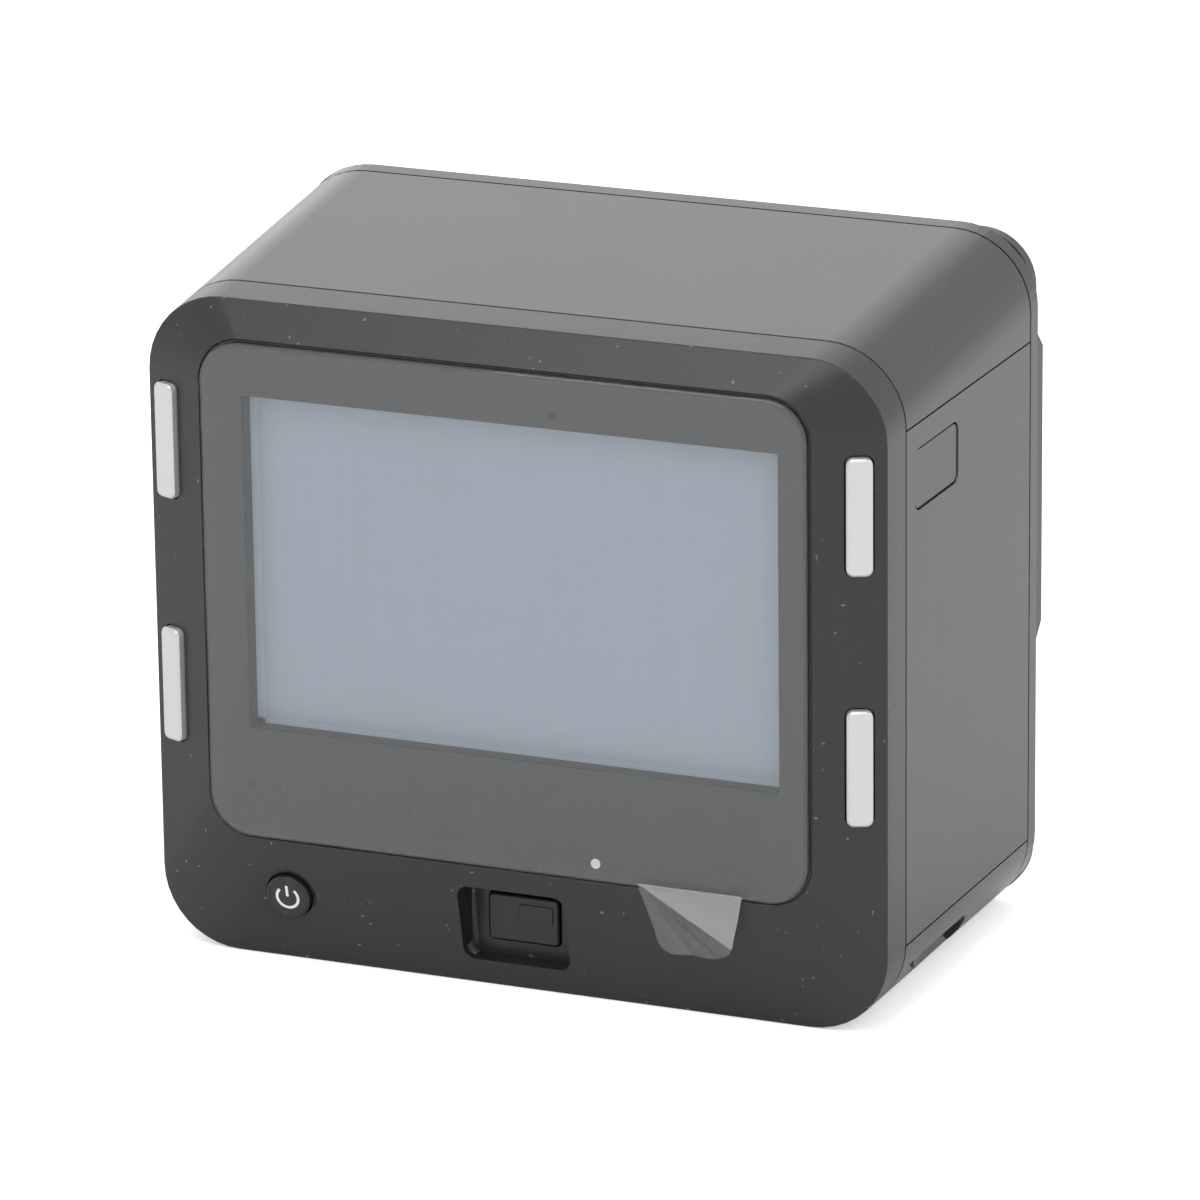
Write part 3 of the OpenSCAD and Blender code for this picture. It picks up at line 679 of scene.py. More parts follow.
class Loft:
    """Solids drawn through outlines that lie one behind the other."""

    STEPS = 10
    POINTS = 4 * (STEPS + 1)

    @classmethod
    def ring(cls, outline: Outline, depth: float) -> bpy.types.Object:
        """Makes one loop of edges.

        Args:
            outline: shape of the loop.
            depth: its place along Y.

        Returns:
            The loop as an object with no faces.
        """
        Bench.clear_selection()
        middle = ((outline.left + outline.right) / 2, depth, (outline.low + outline.high) / 2)
        bpy.ops.mesh.primitive_plane_add(size=1, location=middle, rotation=FACING_FRONT)
        loop = bpy.context.object
        loop.scale = (outline.right - outline.left, outline.high - outline.low, 1)
        bpy.ops.object.transform_apply(location=True, rotation=True, scale=True)
        Bench.edit(loop)
        bpy.ops.mesh.bevel(offset=outline.radius, segments=cls.STEPS, affect="VERTICES")
        bpy.ops.mesh.select_all(action="SELECT")
        bpy.ops.mesh.delete(type="ONLY_FACE")
        bpy.ops.object.mode_set(mode="OBJECT")
        return loop

    @classmethod
    def through(
        cls, name: str, rings: list[tuple[Outline, float]], closed: bool = False
    ) -> bpy.types.Object:
        """Bridges loops into one closed solid.

        Args:
            name: name of the solid.
            rings: outline and depth of each loop, in order.
            closed: whether the last loop joins the first, instead of both having a cap.

        Returns:
            The solid.
        """
        loops = [cls.ring(outline, depth) for outline, depth in rings]
        Bench.take(loops[0])
        for loop in loops:
            loop.select_set(True)
        bpy.ops.object.join()
        piece = bpy.context.object
        last = len(rings) - 1
        for first, second in [(n, n + 1) for n in range(last)] + ([(last, 0)] if closed else []):
            Bench.pick(piece, lambda vertex: vertex.index // cls.POINTS in (first, second))
            bpy.ops.mesh.bridge_edge_loops()
        for end in () if closed else (0, last):
            Bench.pick(piece, lambda vertex: vertex.index // cls.POINTS == end)
            bpy.ops.mesh.edge_face_add()
        bpy.ops.mesh.select_all(action="SELECT")
        bpy.ops.mesh.normals_make_consistent(inside=False)
        return Bench.settle(piece, name)

    @classmethod
    def plate(
        cls, name: str, outline: Outline, front: float, back: float, chamfer: float = 0.0
    ) -> bpy.types.Object:
        """Makes a flat plate with a chamfer round its front.

        Args:
            name: name of the plate.
            outline: its outline.
            front: depth of its front.
            back: depth of its back.
            chamfer: width of the chamfer.

        Returns:
            The plate.
        """
        rings = [(outline, back)]
        if chamfer:
            rings.append((outline, front + chamfer))
        rings.append((outline.inset(chamfer), front))
        return cls.through(name, rings)


class Cutter:
    """Cuts that shape a piece."""

    @staticmethod
    def halve(piece: bpy.types.Object, point: Vector, outward: Vector) -> None:
        """Cuts off what lies beyond a plane and closes the cut.

        Args:
            piece: the object.
            point: a point of the plane.
            outward: direction of what is cut off.
        """
        Bench.edit(piece)
        bpy.ops.mesh.bisect(plane_co=point, plane_no=outward, use_fill=True, clear_outer=True)
        bpy.ops.object.mode_set(mode="OBJECT")

    @staticmethod
    def combine(piece: bpy.types.Object, tool: bpy.types.Object, joining: Joining = Joining.CUT) -> None:
        """Cuts a tool out of a piece, or fuses it on, and deletes the tool.

        Args:
            piece: the object.
            tool: the other solid.
            joining: what the tool does.
        """
        Bench.finish_with(piece, "BOOLEAN", operation=joining.value, object=tool, solver="EXACT")
        Bench.delete(tool)


@dataclass
class BodyShape:
    """Outer form of the body, read from the boxes of the frame and from a few sizes of its own."""

    corner_r: float = 10 * MM
    wall: float = 2 * MM
    band_deep: float = 3.6 * MM
    glass_r: float = 5.2 * MM
    glass_gap: float = 0.4 * MM
    key_in: float = 3.05 * MM
    button_z: float = 8.4 * MM

    def __post_init__(self) -> None:
        """Reads the boxes of the bezel, the rear frame and the glass."""
        front_low, self.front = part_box("bezel")
        _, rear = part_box("rear_frame")
        glass_low, glass_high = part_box("cover_glass")
        self.lip_y = front_low.y
        self.band_y = self.lip_y + self.band_deep
        self.bezel_end = self.front.y
        self.flare = (rear.x - self.front.x) / (rear.y - self.front.y)
        self.rise = (rear.z - self.front.z) / (rear.y - self.front.y)
        self.glass_front, self.glass_back = glass_low.y, glass_high.y
        self.glass = Outline(glass_low.x, glass_high.x, glass_low.z, glass_high.z, self.glass_r)
        self.lip = self.glass.inset(-self.glass_gap)
        self.side_slope = self.band_deep / (self.half_w(self.band_y) - self.lip.right)
        self.low_slope = self.band_deep / self.lip.low

    def half_w(self, depth: float) -> float:
        """Half width of the body at a depth."""
        return self.front.x + self.flare * (depth - self.front.y)

    def outline(self, depth: float, inset: float = 0.0) -> Outline:
        """Outline of the body at a depth.

        Args:
            depth: place along Y.
            inset: how far inside the surface.

        Returns:
            The outline.
        """
        side = self.half_w(depth)
        top = self.front.z + self.rise * (depth - self.front.y)
        return Outline(-side, side, 0.0, top, self.corner_r).inset(inset)

    def key_seat(self, node: str) -> Seat:
        """Seat of a key on its side band.

        Args:
            node: name of the key's solid.

        Returns:
            The seat.
        """
        low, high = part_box(node)
        side = 1 if low.x > 0 else -1
        across = self.half_w(self.band_y) - self.key_in
        depth = self.lip_y + (across - self.lip.right) * self.side_slope
        return Seat(Vector((side * across, depth, (low.z + high.z) / 2)),
                    (0, 0, side * math.atan(self.side_slope)))

    def button_seat(self) -> Seat:
        """Seat of the power button on the lower band."""
        low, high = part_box("power_button")
        depth = self.lip_y + (self.lip.low - self.button_z) * self.low_slope
        return Seat(Vector(((low.x + high.x) / 2, depth, self.button_z)), (math.atan(self.low_slope), 0, 0))

    def latch_seat(self, depth: float = 0.0) -> Seat:
        """Seat in the middle of the latch recess, at a depth."""
        low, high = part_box("release_button")
        return Seat(Vector((0, depth, (low.z + high.z) / 2)))


@dataclass
class Bezel:
    """Front frame: sloping bands, glass pocket, key slots, dish and latch recess."""

    THROUGH = MM

    shape: BodyShape
    edge: float = 0.3 * MM
    ledge: float = 2.2 * MM
    lip_wall: float = 2.2 * MM
    edge_wall: float = 1.3 * MM
    key_slot: Outline = Outline.centred(3.6 * MM, 15.0 * MM, 1.1 * MM)
    slot_deep: float = 3 * MM
    recess: Outline = Outline.centred(14.2 * MM, 10.2 * MM, 1.5 * MM)
    recess_y: float = 6.2 * MM
    tub_wall: float = 1.2 * MM
    plate_hole: Outline = Outline.centred(9.7 * MM, 6.4 * MM, 0.8 * MM)
    dish_r: float = 4.9 * MM
    dish_floor_r: float = 3.45 * MM
    dish_deep: float = 0.9 * MM
    hole_r: float = 3.15 * MM
    hole_l: float = 12 * MM

    def build(self, wardrobe: Wardrobe) -> list[bpy.types.Object]:
        """Models the bezel.

        Args:
            wardrobe: the materials.

        Returns:
            The finished piece.
        """
        shape = self.shape
        pocket = shape.lip.inset(self.ledge)
        piece = Loft.through("bezel_frame", [
            (shape.outline(shape.bezel_end), shape.bezel_end),
            (shape.outline(shape.band_y), shape.band_y),
            (shape.lip, shape.lip_y),
            (shape.lip, shape.glass_back),
            (pocket, shape.glass_back),
            (pocket, shape.lip_y + self.lip_wall),
            (shape.outline(shape.band_y, shape.wall), shape.band_y + self.edge_wall),
            (shape.outline(shape.bezel_end, shape.wall), shape.bezel_end),
        ], closed=True)
        Bench.soften(piece, self.edge, 3)
        self._cut_latch_recess(piece)
        for key in KEYS:
            slot = Loft.plate("slot", self.key_slot, -2 * self.THROUGH, self.slot_deep)
            Cutter.combine(piece, shape.key_seat(key.value).take(slot))
        self._cut_dish(piece)
        Bench.smooth(piece)
        return [wardrobe.fit(piece, Body.HOUSING, "front_moulding", "bezel")]

    def _cut_latch_recess(self, piece: bpy.types.Object) -> None:
        """Sinks the recess of the release plate, with a tub behind it.

        Args:
            piece: the bezel.
        """
        seat = self.shape.latch_seat()
        floor = self.shape.glass_front + self.recess_y
        back = floor + self.tub_wall
        tub = Loft.plate("tub", self.recess.inset(-self.tub_wall), self.shape.band_y, back)
        Cutter.combine(piece, seat.take(tub), Joining.FUSE)
        room = Loft.plate("room", self.recess, self.shape.glass_front - self.THROUGH, floor)
        Cutter.combine(piece, seat.take(room))
        hole = Loft.plate("plate_hole", self.plate_hole, floor - self.THROUGH, back + self.THROUGH)
        Cutter.combine(piece, seat.take(hole))

    def _cut_dish(self, piece: bpy.types.Object) -> None:
        """Sinks the dish round the power button, and the hole of the button.

        Args:
            piece: the bezel.
        """
        seat = self.shape.button_seat()
        Bench.clear_selection()
        bpy.ops.mesh.primitive_cone_add(vertices=96, radius1=self.dish_r, radius2=self.dish_floor_r,
                                        depth=self.dish_deep, rotation=(-math.pi / 2, 0, 0),
                                        location=(0, self.dish_deep / 2 - 0.01 * MM, 0))
        Cutter.combine(piece, seat.take(Bench.settle(bpy.context.object, "dish")))
        hole = Bench.cylinder("button_hole", self.hole_r, self.hole_l, -self.hole_l / 2)
        Cutter.combine(piece, seat.take(hole))


@dataclass
class Shells:
    """Top and bottom covers and the right side panel, parted by thin seams."""

    shape: BodyShape
    edge: float = 0.12 * MM
    badge_gap: float = 0.25 * MM
    badge_r: float = 1.3 * MM
    badge_deep: float = 0.7 * MM
    battery_gap: float = 0.3 * MM
    opening_h: float = 12 * MM
    notch_y: float = -13.59 * MM
    notch_l: float = 16.6 * MM
    notch_z: float = 6.5 * MM
    notch_r: float = 1.6 * MM
    notch_deep: float = 3.2 * MM
    roof_t: float = 1.1 * MM
    roof_h: float = 2.5 * MM
    roof_r: float = 0.8 * MM

    def build(self, wardrobe: Wardrobe) -> list[bpy.types.Object]:
        """Models the three pieces.

        Args:
            wardrobe: the materials.

        Returns:
            The finished pieces.
        """
        pieces = []
        cuts = {"top_cover": self._top, "bottom_cover": self._bottom, "right_panel": self._right}
        for node, cut in cuts.items():
            low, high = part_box(node)
            piece = self._tube(node + "_shell", low.y, high.y)
            cut(piece, low, high)
            Bench.soften(piece, self.edge)
            pieces.append(wardrobe.fit(piece, Body.HOUSING, "satin_shell", node))
        return pieces

    def _tube(self, name: str, front: float, back: float) -> bpy.types.Object:
        """Makes a shell of the whole body between two depths, open at both ends.

        Args:
            name: name of the shell.
            front: depth of its front.
            back: depth of its back.

        Returns:
            The shell.
        """
        shape = self.shape
        return Loft.through(name, [
            (shape.outline(front), front),
            (shape.outline(back), back),
            (shape.outline(back, shape.wall), back),
            (shape.outline(front, shape.wall), front),
        ], closed=True)

    def _top(self, piece: bpy.types.Object, low: Vector, high: Vector) -> None:
        """Cuts the shell down to the top cover.

        Args:
            piece: the shell.
            low: lowest corner of the solid.
            high: its highest corner.
        """
        Cutter.halve(piece, low, -UP)

    def _bottom(self, piece: bpy.types.Object, low: Vector, high: Vector) -> None:
        """Cuts the shell down to the bottom cover, with its opening and its two side notches.

        Args:
            piece: the shell.
            low: lowest corner of the solid.
            high: its highest corner.
        """
        Cutter.halve(piece, high, UP)
        first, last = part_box("battery_pack")
        Bench.clear_selection()
        bpy.ops.mesh.primitive_cube_add(size=1, location=(0, (first.y + last.y) / 2, 0))
        opening = bpy.context.object
        opening.scale = (last.x - first.x + 2 * self.battery_gap, last.y - first.y + 2 * self.battery_gap,
                         self.opening_h)
        Cutter.combine(piece, Bench.settle(opening, "opening"))
        front, back = self.notch_y, self.notch_y + self.notch_l
        roof_top = self.notch_z + self.roof_t
        roof = Outline(front - self.roof_t, back + self.roof_t, roof_top - self.roof_h, roof_top, self.roof_r)
        notch = Outline(front, back, -5 * MM, self.notch_z, self.notch_r)
        side = self.shape.half_w((front + back) / 2)
        inner = side - self.notch_deep
        for sign in (-1, 1):
            self._side_tool(piece, roof, sign, inner - self.roof_t, side - MM, Joining.FUSE)
            self._side_tool(piece, notch, sign, inner, side + 5 * MM, Joining.CUT)

    def _right(self, piece: bpy.types.Object, low: Vector, high: Vector) -> None:
        """Cuts the shell down to the right panel, with the sunk place of the badge.

        Args:
            piece: the shell.
            low: lowest corner of the solid.
            high: its highest corner.
        """
        Cutter.halve(piece, low, -UP)
        Cutter.halve(piece, high, UP)
        Cutter.halve(piece, Vector(), LEFT)
        first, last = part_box("right_badge")
        place = Outline(first.y, last.y, first.z, last.z, self.badge_r - self.badge_gap).inset(-self.badge_gap)
        side = self.shape.half_w((first.y + last.y) / 2)
        self._side_tool(piece, place, 1, side - self.badge_deep, side + 3 * MM, Joining.CUT)

    @staticmethod
    def _side_tool(
        piece: bpy.types.Object, outline: Outline, sign: int, inner: float, outer: float, joining: Joining
    ) -> None:
        """Joins or cuts a plate that stands in the YZ plane at one side.

        Args:
            piece: the object.
            outline: outline of the plate, with Y across and Z up.
            sign: -1 for the left and 1 for the right.
            inner: its face nearer to the middle.
            outer: its face further out.
            joining: what the plate does.
        """
        tool = Loft.plate("side_tool", outline, 0, outer - inner)
        start = outer if sign > 0 else -inner
        Cutter.combine(piece, Seat(Vector((start, 0, 0)), (0, 0, math.pi / 2)).take(tool), joining)


@dataclass
class Keys:
    """Four silver function keys."""

    shape: BodyShape
    cap: Outline = Outline.centred(3.2 * MM, 14.6 * MM, 0.9 * MM)
    back: float = 2.0 * MM
    proud: float = 1.0 * MM
    rim: float = 0.32 * MM
    crown: float = 0.12 * MM
    edge: float = 0.06 * MM

    def build(self, wardrobe: Wardrobe) -> list[bpy.types.Object]:
        """Models one key and copies it to the four places.

        Args:
            wardrobe: the materials.

        Returns:
            The finished keys.
        """
        pattern = Loft.through("key_pattern", [
            (self.cap, self.back),
            (self.cap, self.rim - self.proud),
            (self.cap.inset(0.6 * self.rim), self.crown - self.proud),
            (self.cap.inset(1.1 * self.rim), -self.proud),
        ])
        Bench.soften(pattern, self.edge, 2, 20)
        keys = []
        for body in KEYS:
            key = self.shape.key_seat(body.value).take(Bench.copy(pattern, body.value + "_cap"))
            keys.append(wardrobe.fit(key, body, "silver_key", body.value))
        Bench.delete(pattern)
        return keys


@dataclass
class PowerButton:
    """Round power button with its sign."""

    shape: BodyShape
    radius: float = 2.95 * MM
    sunk: float = 0.15 * MM
    length: float = 2.4 * MM
    edge: float = 0.25 * MM
    rim_in: float = 0.42 * MM
    rim_r: float = 0.16 * MM
    rim_sunk: float = 0.06 * MM
    sign_r: float = 1.42 * MM
    sign_gap: float = math.radians(84)
    stroke: float = 0.36 * MM
    print_t: float = 0.12 * MM
    print_proud: float = 0.02 * MM

    def build(self, wardrobe: Wardrobe) -> list[bpy.types.Object]:
        """Models the button and its sign.

        Args:
            wardrobe: the materials.

        Returns:
            The finished pieces.
        """
        cap = Bench.cylinder("power_cap", self.radius, self.length, self.sunk)
        Bench.soften(cap, self.edge, 4)
        half, front = self.stroke / 2, self.sunk - self.print_proud
        bar = Outline(-half, half, 0.15 * MM, self.sign_r + 0.25 * MM, self.print_t)
        looks = {
            cap: ("button_black", "power_button"),
            self._rim(): ("gloss_black", ""),
            self._sign_ring(): ("white_print", ""),
            Loft.plate("power_sign_bar", bar, front, front + self.print_t): ("white_print", ""),
        }
        seat = self.shape.button_seat()
        return [wardrobe.fit(seat.take(piece), Body.POWER, *look) for piece, look in looks.items()]

    def _rim(self) -> bpy.types.Object:
        """Makes the glossy raised rim round the face of the button."""
        Bench.clear_selection()
        bpy.ops.mesh.primitive_torus_add(
            major_segments=96, minor_segments=16, major_radius=self.radius - self.rim_in,
            minor_radius=self.rim_r, rotation=FACING_FRONT, location=(0, self.sunk + self.rim_sunk, 0))
        rim = Bench.settle(bpy.context.object, "power_rim")
        Bench.smooth(rim)
        return rim

    def _sign_ring(self) -> bpy.types.Object:
        """Spins the open ring of the power sign from its section, with the gap at the top."""
        Bench.clear_selection()
        middle = self.sunk - self.print_proud + self.print_t / 2
        bpy.ops.mesh.primitive_plane_add(size=1, location=(self.sign_r, middle, 0))
        ring = bpy.context.object
        ring.scale = (self.stroke, self.print_t, 1)
        Bench.edit(Bench.settle(ring, "power_sign_ring"))
        bpy.ops.mesh.spin(steps=48, angle=2 * math.pi - self.sign_gap, center=(0, 0, 0), axis=(0, 1, 0))
        bpy.ops.mesh.select_all(action="SELECT")
        bpy.ops.mesh.fill_holes(sides=4)
        bpy.ops.mesh.normals_make_consistent(inside=False)
        return Seat(Vector(), (0, -(math.pi + self.sign_gap) / 2, 0)).take(ring)


@dataclass
class ReleasePlate:
    """Release plate in the latch recess, with a raised corner line."""

    shape: BodyShape
    plate: Outline = Outline.centred(9.3 * MM, 6.0 * MM, 0.6 * MM)
    thick: float = 2.3 * MM
    chamfer: float = 0.2 * MM
    depth: float = 5.7 * MM
    mark: Outline = Outline(-0.6 * MM, 3.9 * MM, -0.4 * MM, 2.0 * MM, 0.25 * MM)
    mark_proud: float = 0.12 * MM
    mark_back: float = 0.1 * MM
    mark_chamfer: float = 0.06 * MM

    def build(self, wardrobe: Wardrobe) -> list[bpy.types.Object]:
        """Models the plate and its mark.

        Args:
            wardrobe: the materials.

        Returns:
            The finished pieces.
        """
        plate = Loft.plate("release_plate", self.plate, 0, self.thick, self.chamfer)
        mark = Loft.plate("release_mark", self.mark, -self.mark_proud, self.mark_back, self.mark_chamfer)
        seat = self.shape.latch_seat(self.shape.glass_front + self.depth)
        for piece in (plate, mark):
            Bench.smooth(seat.take(piece))
        return [wardrobe.fit(plate, Body.RELEASE, "button_black", "release_button"),
                wardrobe.fit(mark, Body.RELEASE, "button_black")]


@dataclass(frozen=True)
class Spot:
    """Round mark printed on the back of the glass."""

    name: str
    across: float
    height: float
    radius: float
    finish: str


@dataclass
class Display:
    """Touch glass with its black mask, and the display behind it."""

    SPOTS = (
        Spot("status_light", 11.65 * MM, 18.86 * MM, 0.62 * MM, "status_light"),
        Spot("sensor_spot_left", -33.75 * MM, 23.6 * MM, 0.5 * MM, "sensor_spot"),
        Spot("sensor_spot_right", -30.24 * MM, 23.8 * MM, 0.5 * MM, "sensor_spot"),
        Spot("light_sensor", 6.71 * MM, 74.97 * MM, 0.6 * MM, "sensor_dark"),
    )

    shape: BodyShape
    window: Outline = Outline(-34.15 * MM, 35.55 * MM, 30.7 * MM, 73.3 * MM, 0.3 * MM)
    glass_chamfer: float = 0.18 * MM
    mask_in: float = 0.05 * MM
    mask_t: float = 0.28 * MM
    clear: float = 0.02 * MM
    spot_t: float = 0.04 * MM
    picture_deep: float = 3.4 * MM
    step: float = 0.2 * MM
    edge_left: float = 1.0 * MM
    edge_low: float = 0.65 * MM
    edge_proud: float = 0.03 * MM
    edge_back: float = 0.01 * MM

    def build(self, wardrobe: Wardrobe) -> list[bpy.types.Object]:
        """Models the glass, the mask, the display and the marks.

        Args:
            wardrobe: the materials.

        Returns:
            The finished pieces.
        """
        shape = self.shape
        mask_y = shape.glass_back - self.mask_t
        border = shape.glass.inset(self.mask_in)
        glass = Loft.plate("touch_glass", shape.glass, shape.glass_front, mask_y - self.clear,
                           self.glass_chamfer)
        mask = Loft.through("glass_mask", [
            (border, mask_y), (self.window, mask_y),
            (self.window, shape.glass_back), (border, shape.glass_back),
        ], closed=True)
        looks = {glass: ("display_glass", "cover_glass"), mask: ("mask_black", "")}
        looks.update(self._picture())
        for spot in self.SPOTS:
            piece = Bench.cylinder(spot.name, spot.radius, self.spot_t, -self.spot_t / 2, 32)
            Seat(Vector((spot.across, mask_y - self.edge_back, spot.height))).take(piece)
            looks[piece] = (spot.finish, "")
        for piece in looks:
            Bench.smooth(piece)
        return [wardrobe.fit(piece, Body.HOUSING, *look) for piece, look in looks.items()]

    def _picture(self) -> dict[bpy.types.Object, tuple[str, str]]:
        """Models the display: a frame behind the mask, and the picture area sunk into it.

        Returns:
            Finish and replaced solid of each piece.
        """
        low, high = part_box("lcd_module")
        case = Outline(low.x, high.x, low.z, high.z, MM)
        view = self.window
        sunk = self.shape.glass_front + self.picture_deep
        front = self.shape.glass_back + self.step
        surround = Loft.through("display_frame", [
            (case, high.y), (case, front), (view, front), (view, sunk + self.step),
            (view.inset(-self.clear), high.y),
        ], closed=True)
        face = Loft.plate("display_face", view, sunk, high.y - self.step)
        looks = {surround: ("mask_black", ""), face: ("display_panel", "lcd_module")}
        strips = {
            "display_edge_left": Outline(view.left, view.left + self.edge_left, view.low, view.high),
            "display_edge_low": Outline(view.left, view.right, view.low, view.low + self.edge_low),
        }
        for name, strip in strips.items():
            piece = Loft.plate(name, strip, sunk - self.edge_proud, sunk + self.edge_back)
            looks[piece] = ("display_edge", "")
        return looks


@dataclass(frozen=True)
class Fold:
    """Line that runs out from the tab's upper left corner, and how far back it lies."""

    angle: float
    back: float = 0.0


@dataclass
class Film:
    """Clear film over the glass, with a creased pull tab at its lower edge."""

    CLOUD_ABOVE = -29.0
    FOLDS = (Fold(-14, 0.2 * MM), Fold(-30), Fold(-38, 0.5 * MM), Fold(-44), Fold(-51, 0.5 * MM),
             Fold(-57, 0.1 * MM), Fold(-63, 0.4 * MM))
    NEAR = 0.4

    shape: BodyShape
    margin: float = 0.3 * MM
    clear: float = 0.02 * MM
    thick: float = 0.05 * MM
    left: float = 17.4 * MM
    right: float = 31.0 * MM
    low: float = 8.9 * MM
    overlap: float = 0.9 * MM
    radius: float = 2.4 * MM
    taper_left: float = 2.4 * MM
    taper_right: float = 1.2 * MM
    flat_r: float = 2 * MM

    def __post_init__(self) -> None:
        """Places the upper left corner of the tab, just above the edge of the glass pocket."""
        self.corner = Vector((self.left, 0, self.shape.lip.low + self.overlap))

    def build(self, wardrobe: Wardrobe) -> list[bpy.types.Object]:
        """Models the film and its tab.

        Args:
            wardrobe: the materials.

        Returns:
            The finished pieces.
        """
        shape = self.shape
        front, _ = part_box("protective_film")
        sheet = Loft.plate("film_sheet", shape.glass.inset(self.margin), front.y,
                           shape.glass_front - self.clear)
        outline = Outline(self.left, self.right, self.low, self.corner.z + self.radius, self.radius)
        tab = Loft.plate("film_tab", outline, front.y, front.y + self.thick)
        Cutter.halve(tab, self.corner, UP)
        self._taper(tab)
        self._crease(tab)
        pieces = [wardrobe.fit(sheet, Body.HOUSING, "film_sheet", "protective_film"),
                  wardrobe.fit(tab, Body.HOUSING, "clear_film")]
        tab.data.materials.append(wardrobe.materials["film_cloud"])
        for face in tab.data.polygons:
            face.material_index = int(self._angle(face.center) > self.CLOUD_ABOVE)
        return pieces

    def _angle(self, point: Vector) -> float:
        """Direction of a point from the tab's upper left corner, in degrees."""
        run = point - self.corner
        return math.degrees(math.atan2(run.z, run.x))

    def _taper(self, tab: bpy.types.Object) -> None:
        """Draws the lower end of the tab in at both sides.

        Args:
            tab: the tab.
        """
        middle = (self.left + self.right) / 2
        knee = self.low + self.radius + 0.1 * MM
        for sign, shift in {-1: self.taper_left, 1: -self.taper_right}.items():
            Bench.pick(tab, lambda vertex: vertex.co.z < knee and (vertex.co.x - middle) * sign > 0)
            bpy.ops.transform.translate(value=(shift, 0, 0))

    def _crease(self, tab: bpy.types.Object) -> None:
        """Folds the tab along its fold lines.

        Args:
            tab: the tab.
        """
        Bench.edit(tab)
        for fold in self.FOLDS:
            turn = math.radians(fold.angle)
            bpy.ops.mesh.select_all(action="SELECT")
            bpy.ops.mesh.bisect(plane_co=self.corner, plane_no=(-math.sin(turn), 0, math.cos(turn)))
        for fold in self.FOLDS:
            Bench.pick(tab, lambda vertex: abs(self._angle(vertex.co) - fold.angle) < self.NEAR
                       and math.hypot(vertex.co.x - self.corner.x, vertex.co.z - self.corner.z) > self.flat_r)
            bpy.ops.transform.translate(value=(0, fold.back, 0))
        bpy.ops.object.mode_set(mode="OBJECT")


@dataclass(frozen=True)
class Lamp:
    """Large soft square lamp that is aimed at the object."""

    name: str
    place: tuple[float, float, float]
    size: float
    energy: float


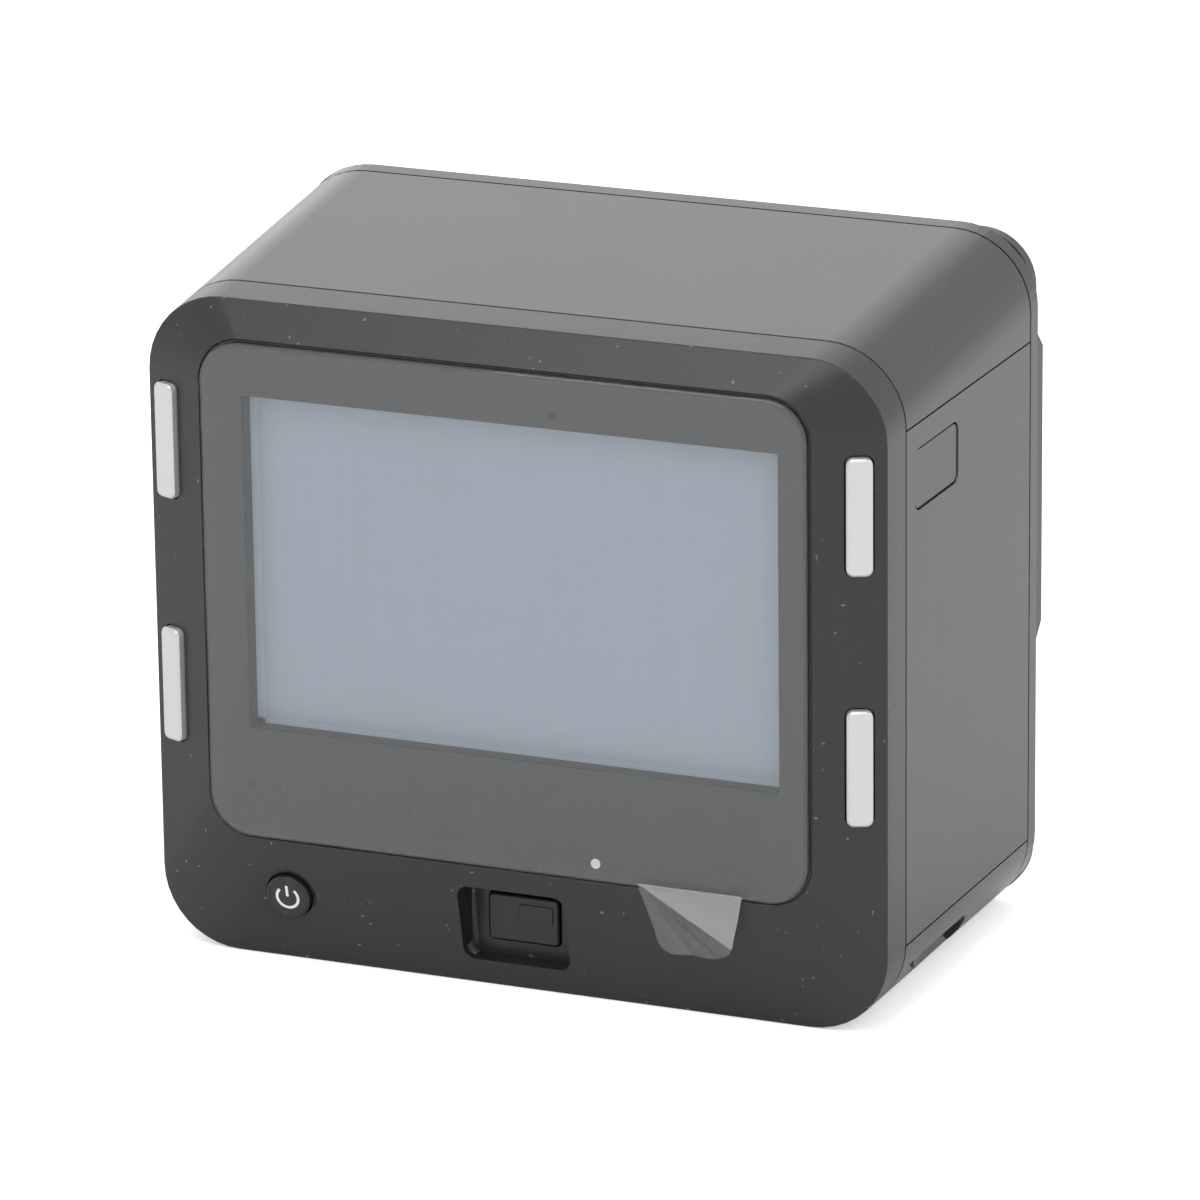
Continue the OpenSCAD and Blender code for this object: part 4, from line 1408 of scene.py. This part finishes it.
@dataclass
class Studio:
    """White light tent: floor, world, lamps and the camera of the photograph."""

    LAMPS = (
        Lamp("top_lamp", (-0.05, -0.42, 0.95), 0.7, 3.4),
        Lamp("side_lamp", (0.8, 0.4, 0.7), 0.6, 2.0),
        Lamp("back_lamp", (-0.5, 1.3, 0.55), 1.0, 2.0),
    )

    aim: Vector = field(default_factory=lambda: Vector((0, 0, 0.04)))
    lens: float = 237.93
    film_width: float = 36.0
    elevation: float = math.radians(18.175)
    azimuth: float = math.radians(22.59)
    roll: float = math.radians(-0.70)
    distance: float = 982.625 * MM
    target: Vector = field(default_factory=lambda: Vector((0.513, 0.81, 42.222)) * MM)
    floor_size: float = 6.0
    floor_gap: float = 0.05 * MM
    floor_tone: float = 0.9
    floor_glow: float = 0.45
    sky: float = 1.0

    def build(self) -> None:
        """Builds the studio."""
        self._floor()
        self._world()
        for lamp in self.LAMPS:
            self._light(lamp)
        self._camera()

    def _floor(self) -> None:
        """Adds the white floor."""
        Bench.clear_selection()
        bpy.ops.mesh.primitive_plane_add(size=self.floor_size, location=(0, 0, -self.floor_gap))
        floor = Bench.settle(bpy.context.object, "floor")
        recipe = Recipe(bpy.data.materials.new("floor_white"))
        seen = recipe.node("ShaderNodeLightPath", {}, {}, "Is Camera Ray")
        white = recipe.node("ShaderNodeBsdfDiffuse", {}, {"Color": (*shade(WHITE, self.floor_tone), 1.0)})
        glow = recipe.node("ShaderNodeEmission", {},
                           {"Color": (*WHITE, 1.0), "Strength": seen * self.floor_glow})
        floor.data.materials.append(recipe.done(recipe.node("ShaderNodeAddShader", {}, {0: white, 1: glow})))

    def _world(self) -> None:
        """Sets an even sky that is white to the camera, also through clear pieces."""
        recipe = Recipe(bpy.data.worlds.new("tent"), "ShaderNodeOutputWorld")
        direct, through = (
            recipe.node("ShaderNodeLightPath", {}, {}, ray) for ray in ("Is Camera Ray", "Is Transmission Ray"))
        seen = recipe.node("ShaderNodeMath", {"operation": "MAXIMUM"}, {0: direct, 1: through})
        strength = recipe.node("ShaderNodeMapRange", {}, {"Value": seen, "To Min": self.sky, "To Max": 1.0})
        sky = recipe.node("ShaderNodeBackground", {}, {"Color": (*WHITE, 1.0), "Strength": strength})
        bpy.context.scene.world = recipe.done(sky)

    def _light(self, lamp: Lamp) -> None:
        """Adds a lamp.

        Args:
            lamp: its place, size and energy.
        """
        Bench.clear_selection()
        turn = (self.aim - Vector(lamp.place)).to_track_quat("-Z", "Y")
        bpy.ops.object.light_add(type="AREA", location=lamp.place, rotation=turn.to_euler())
        light = bpy.context.object
        light.name = lamp.name
        light.data.size = lamp.size
        light.data.energy = lamp.energy

    def _camera(self) -> None:
        """Adds the camera at the viewing angle of the photograph."""
        el, az = self.elevation, self.azimuth
        back = Vector((math.sin(az) * math.cos(el), -math.cos(az) * math.cos(el), math.sin(el)))
        right = Vector((math.cos(az), math.sin(az), 0))
        up = back.cross(right)
        across = right * math.cos(self.roll) + up * math.sin(self.roll)
        upward = up * math.cos(self.roll) - right * math.sin(self.roll)
        turn = Matrix((across, upward, back)).transposed()
        Bench.clear_selection()
        bpy.ops.object.camera_add(location=self.target + back * self.distance, rotation=turn.to_euler())
        camera = bpy.context.object
        camera.name = "photo_camera"
        camera.data.lens = self.lens
        camera.data.sensor_width = self.film_width
        camera.data.clip_start = 0.05
        bpy.context.scene.camera = camera


def main() -> None:
    """Builds the scene and reports each piece."""
    logging.basicConfig(level=logging.INFO, format="%(name)s: %(message)s")
    bpy.context.scene.view_settings.view_transform = "Standard"
    Bench.clear_selection()
    Studio().build()
    wardrobe = Wardrobe()
    for node in frame["nodes"]:
        wardrobe.dress_node(node)
    shape = BodyShape()
    for maker in (Bezel, Shells, Keys, PowerButton, ReleasePlate, Display, Film):
        for piece in maker(shape).build(wardrobe):
            LOG.info("%s made %s, %d faces", maker.__name__, piece.name, len(piece.data.polygons))


if __name__ == "__main__":
    main()
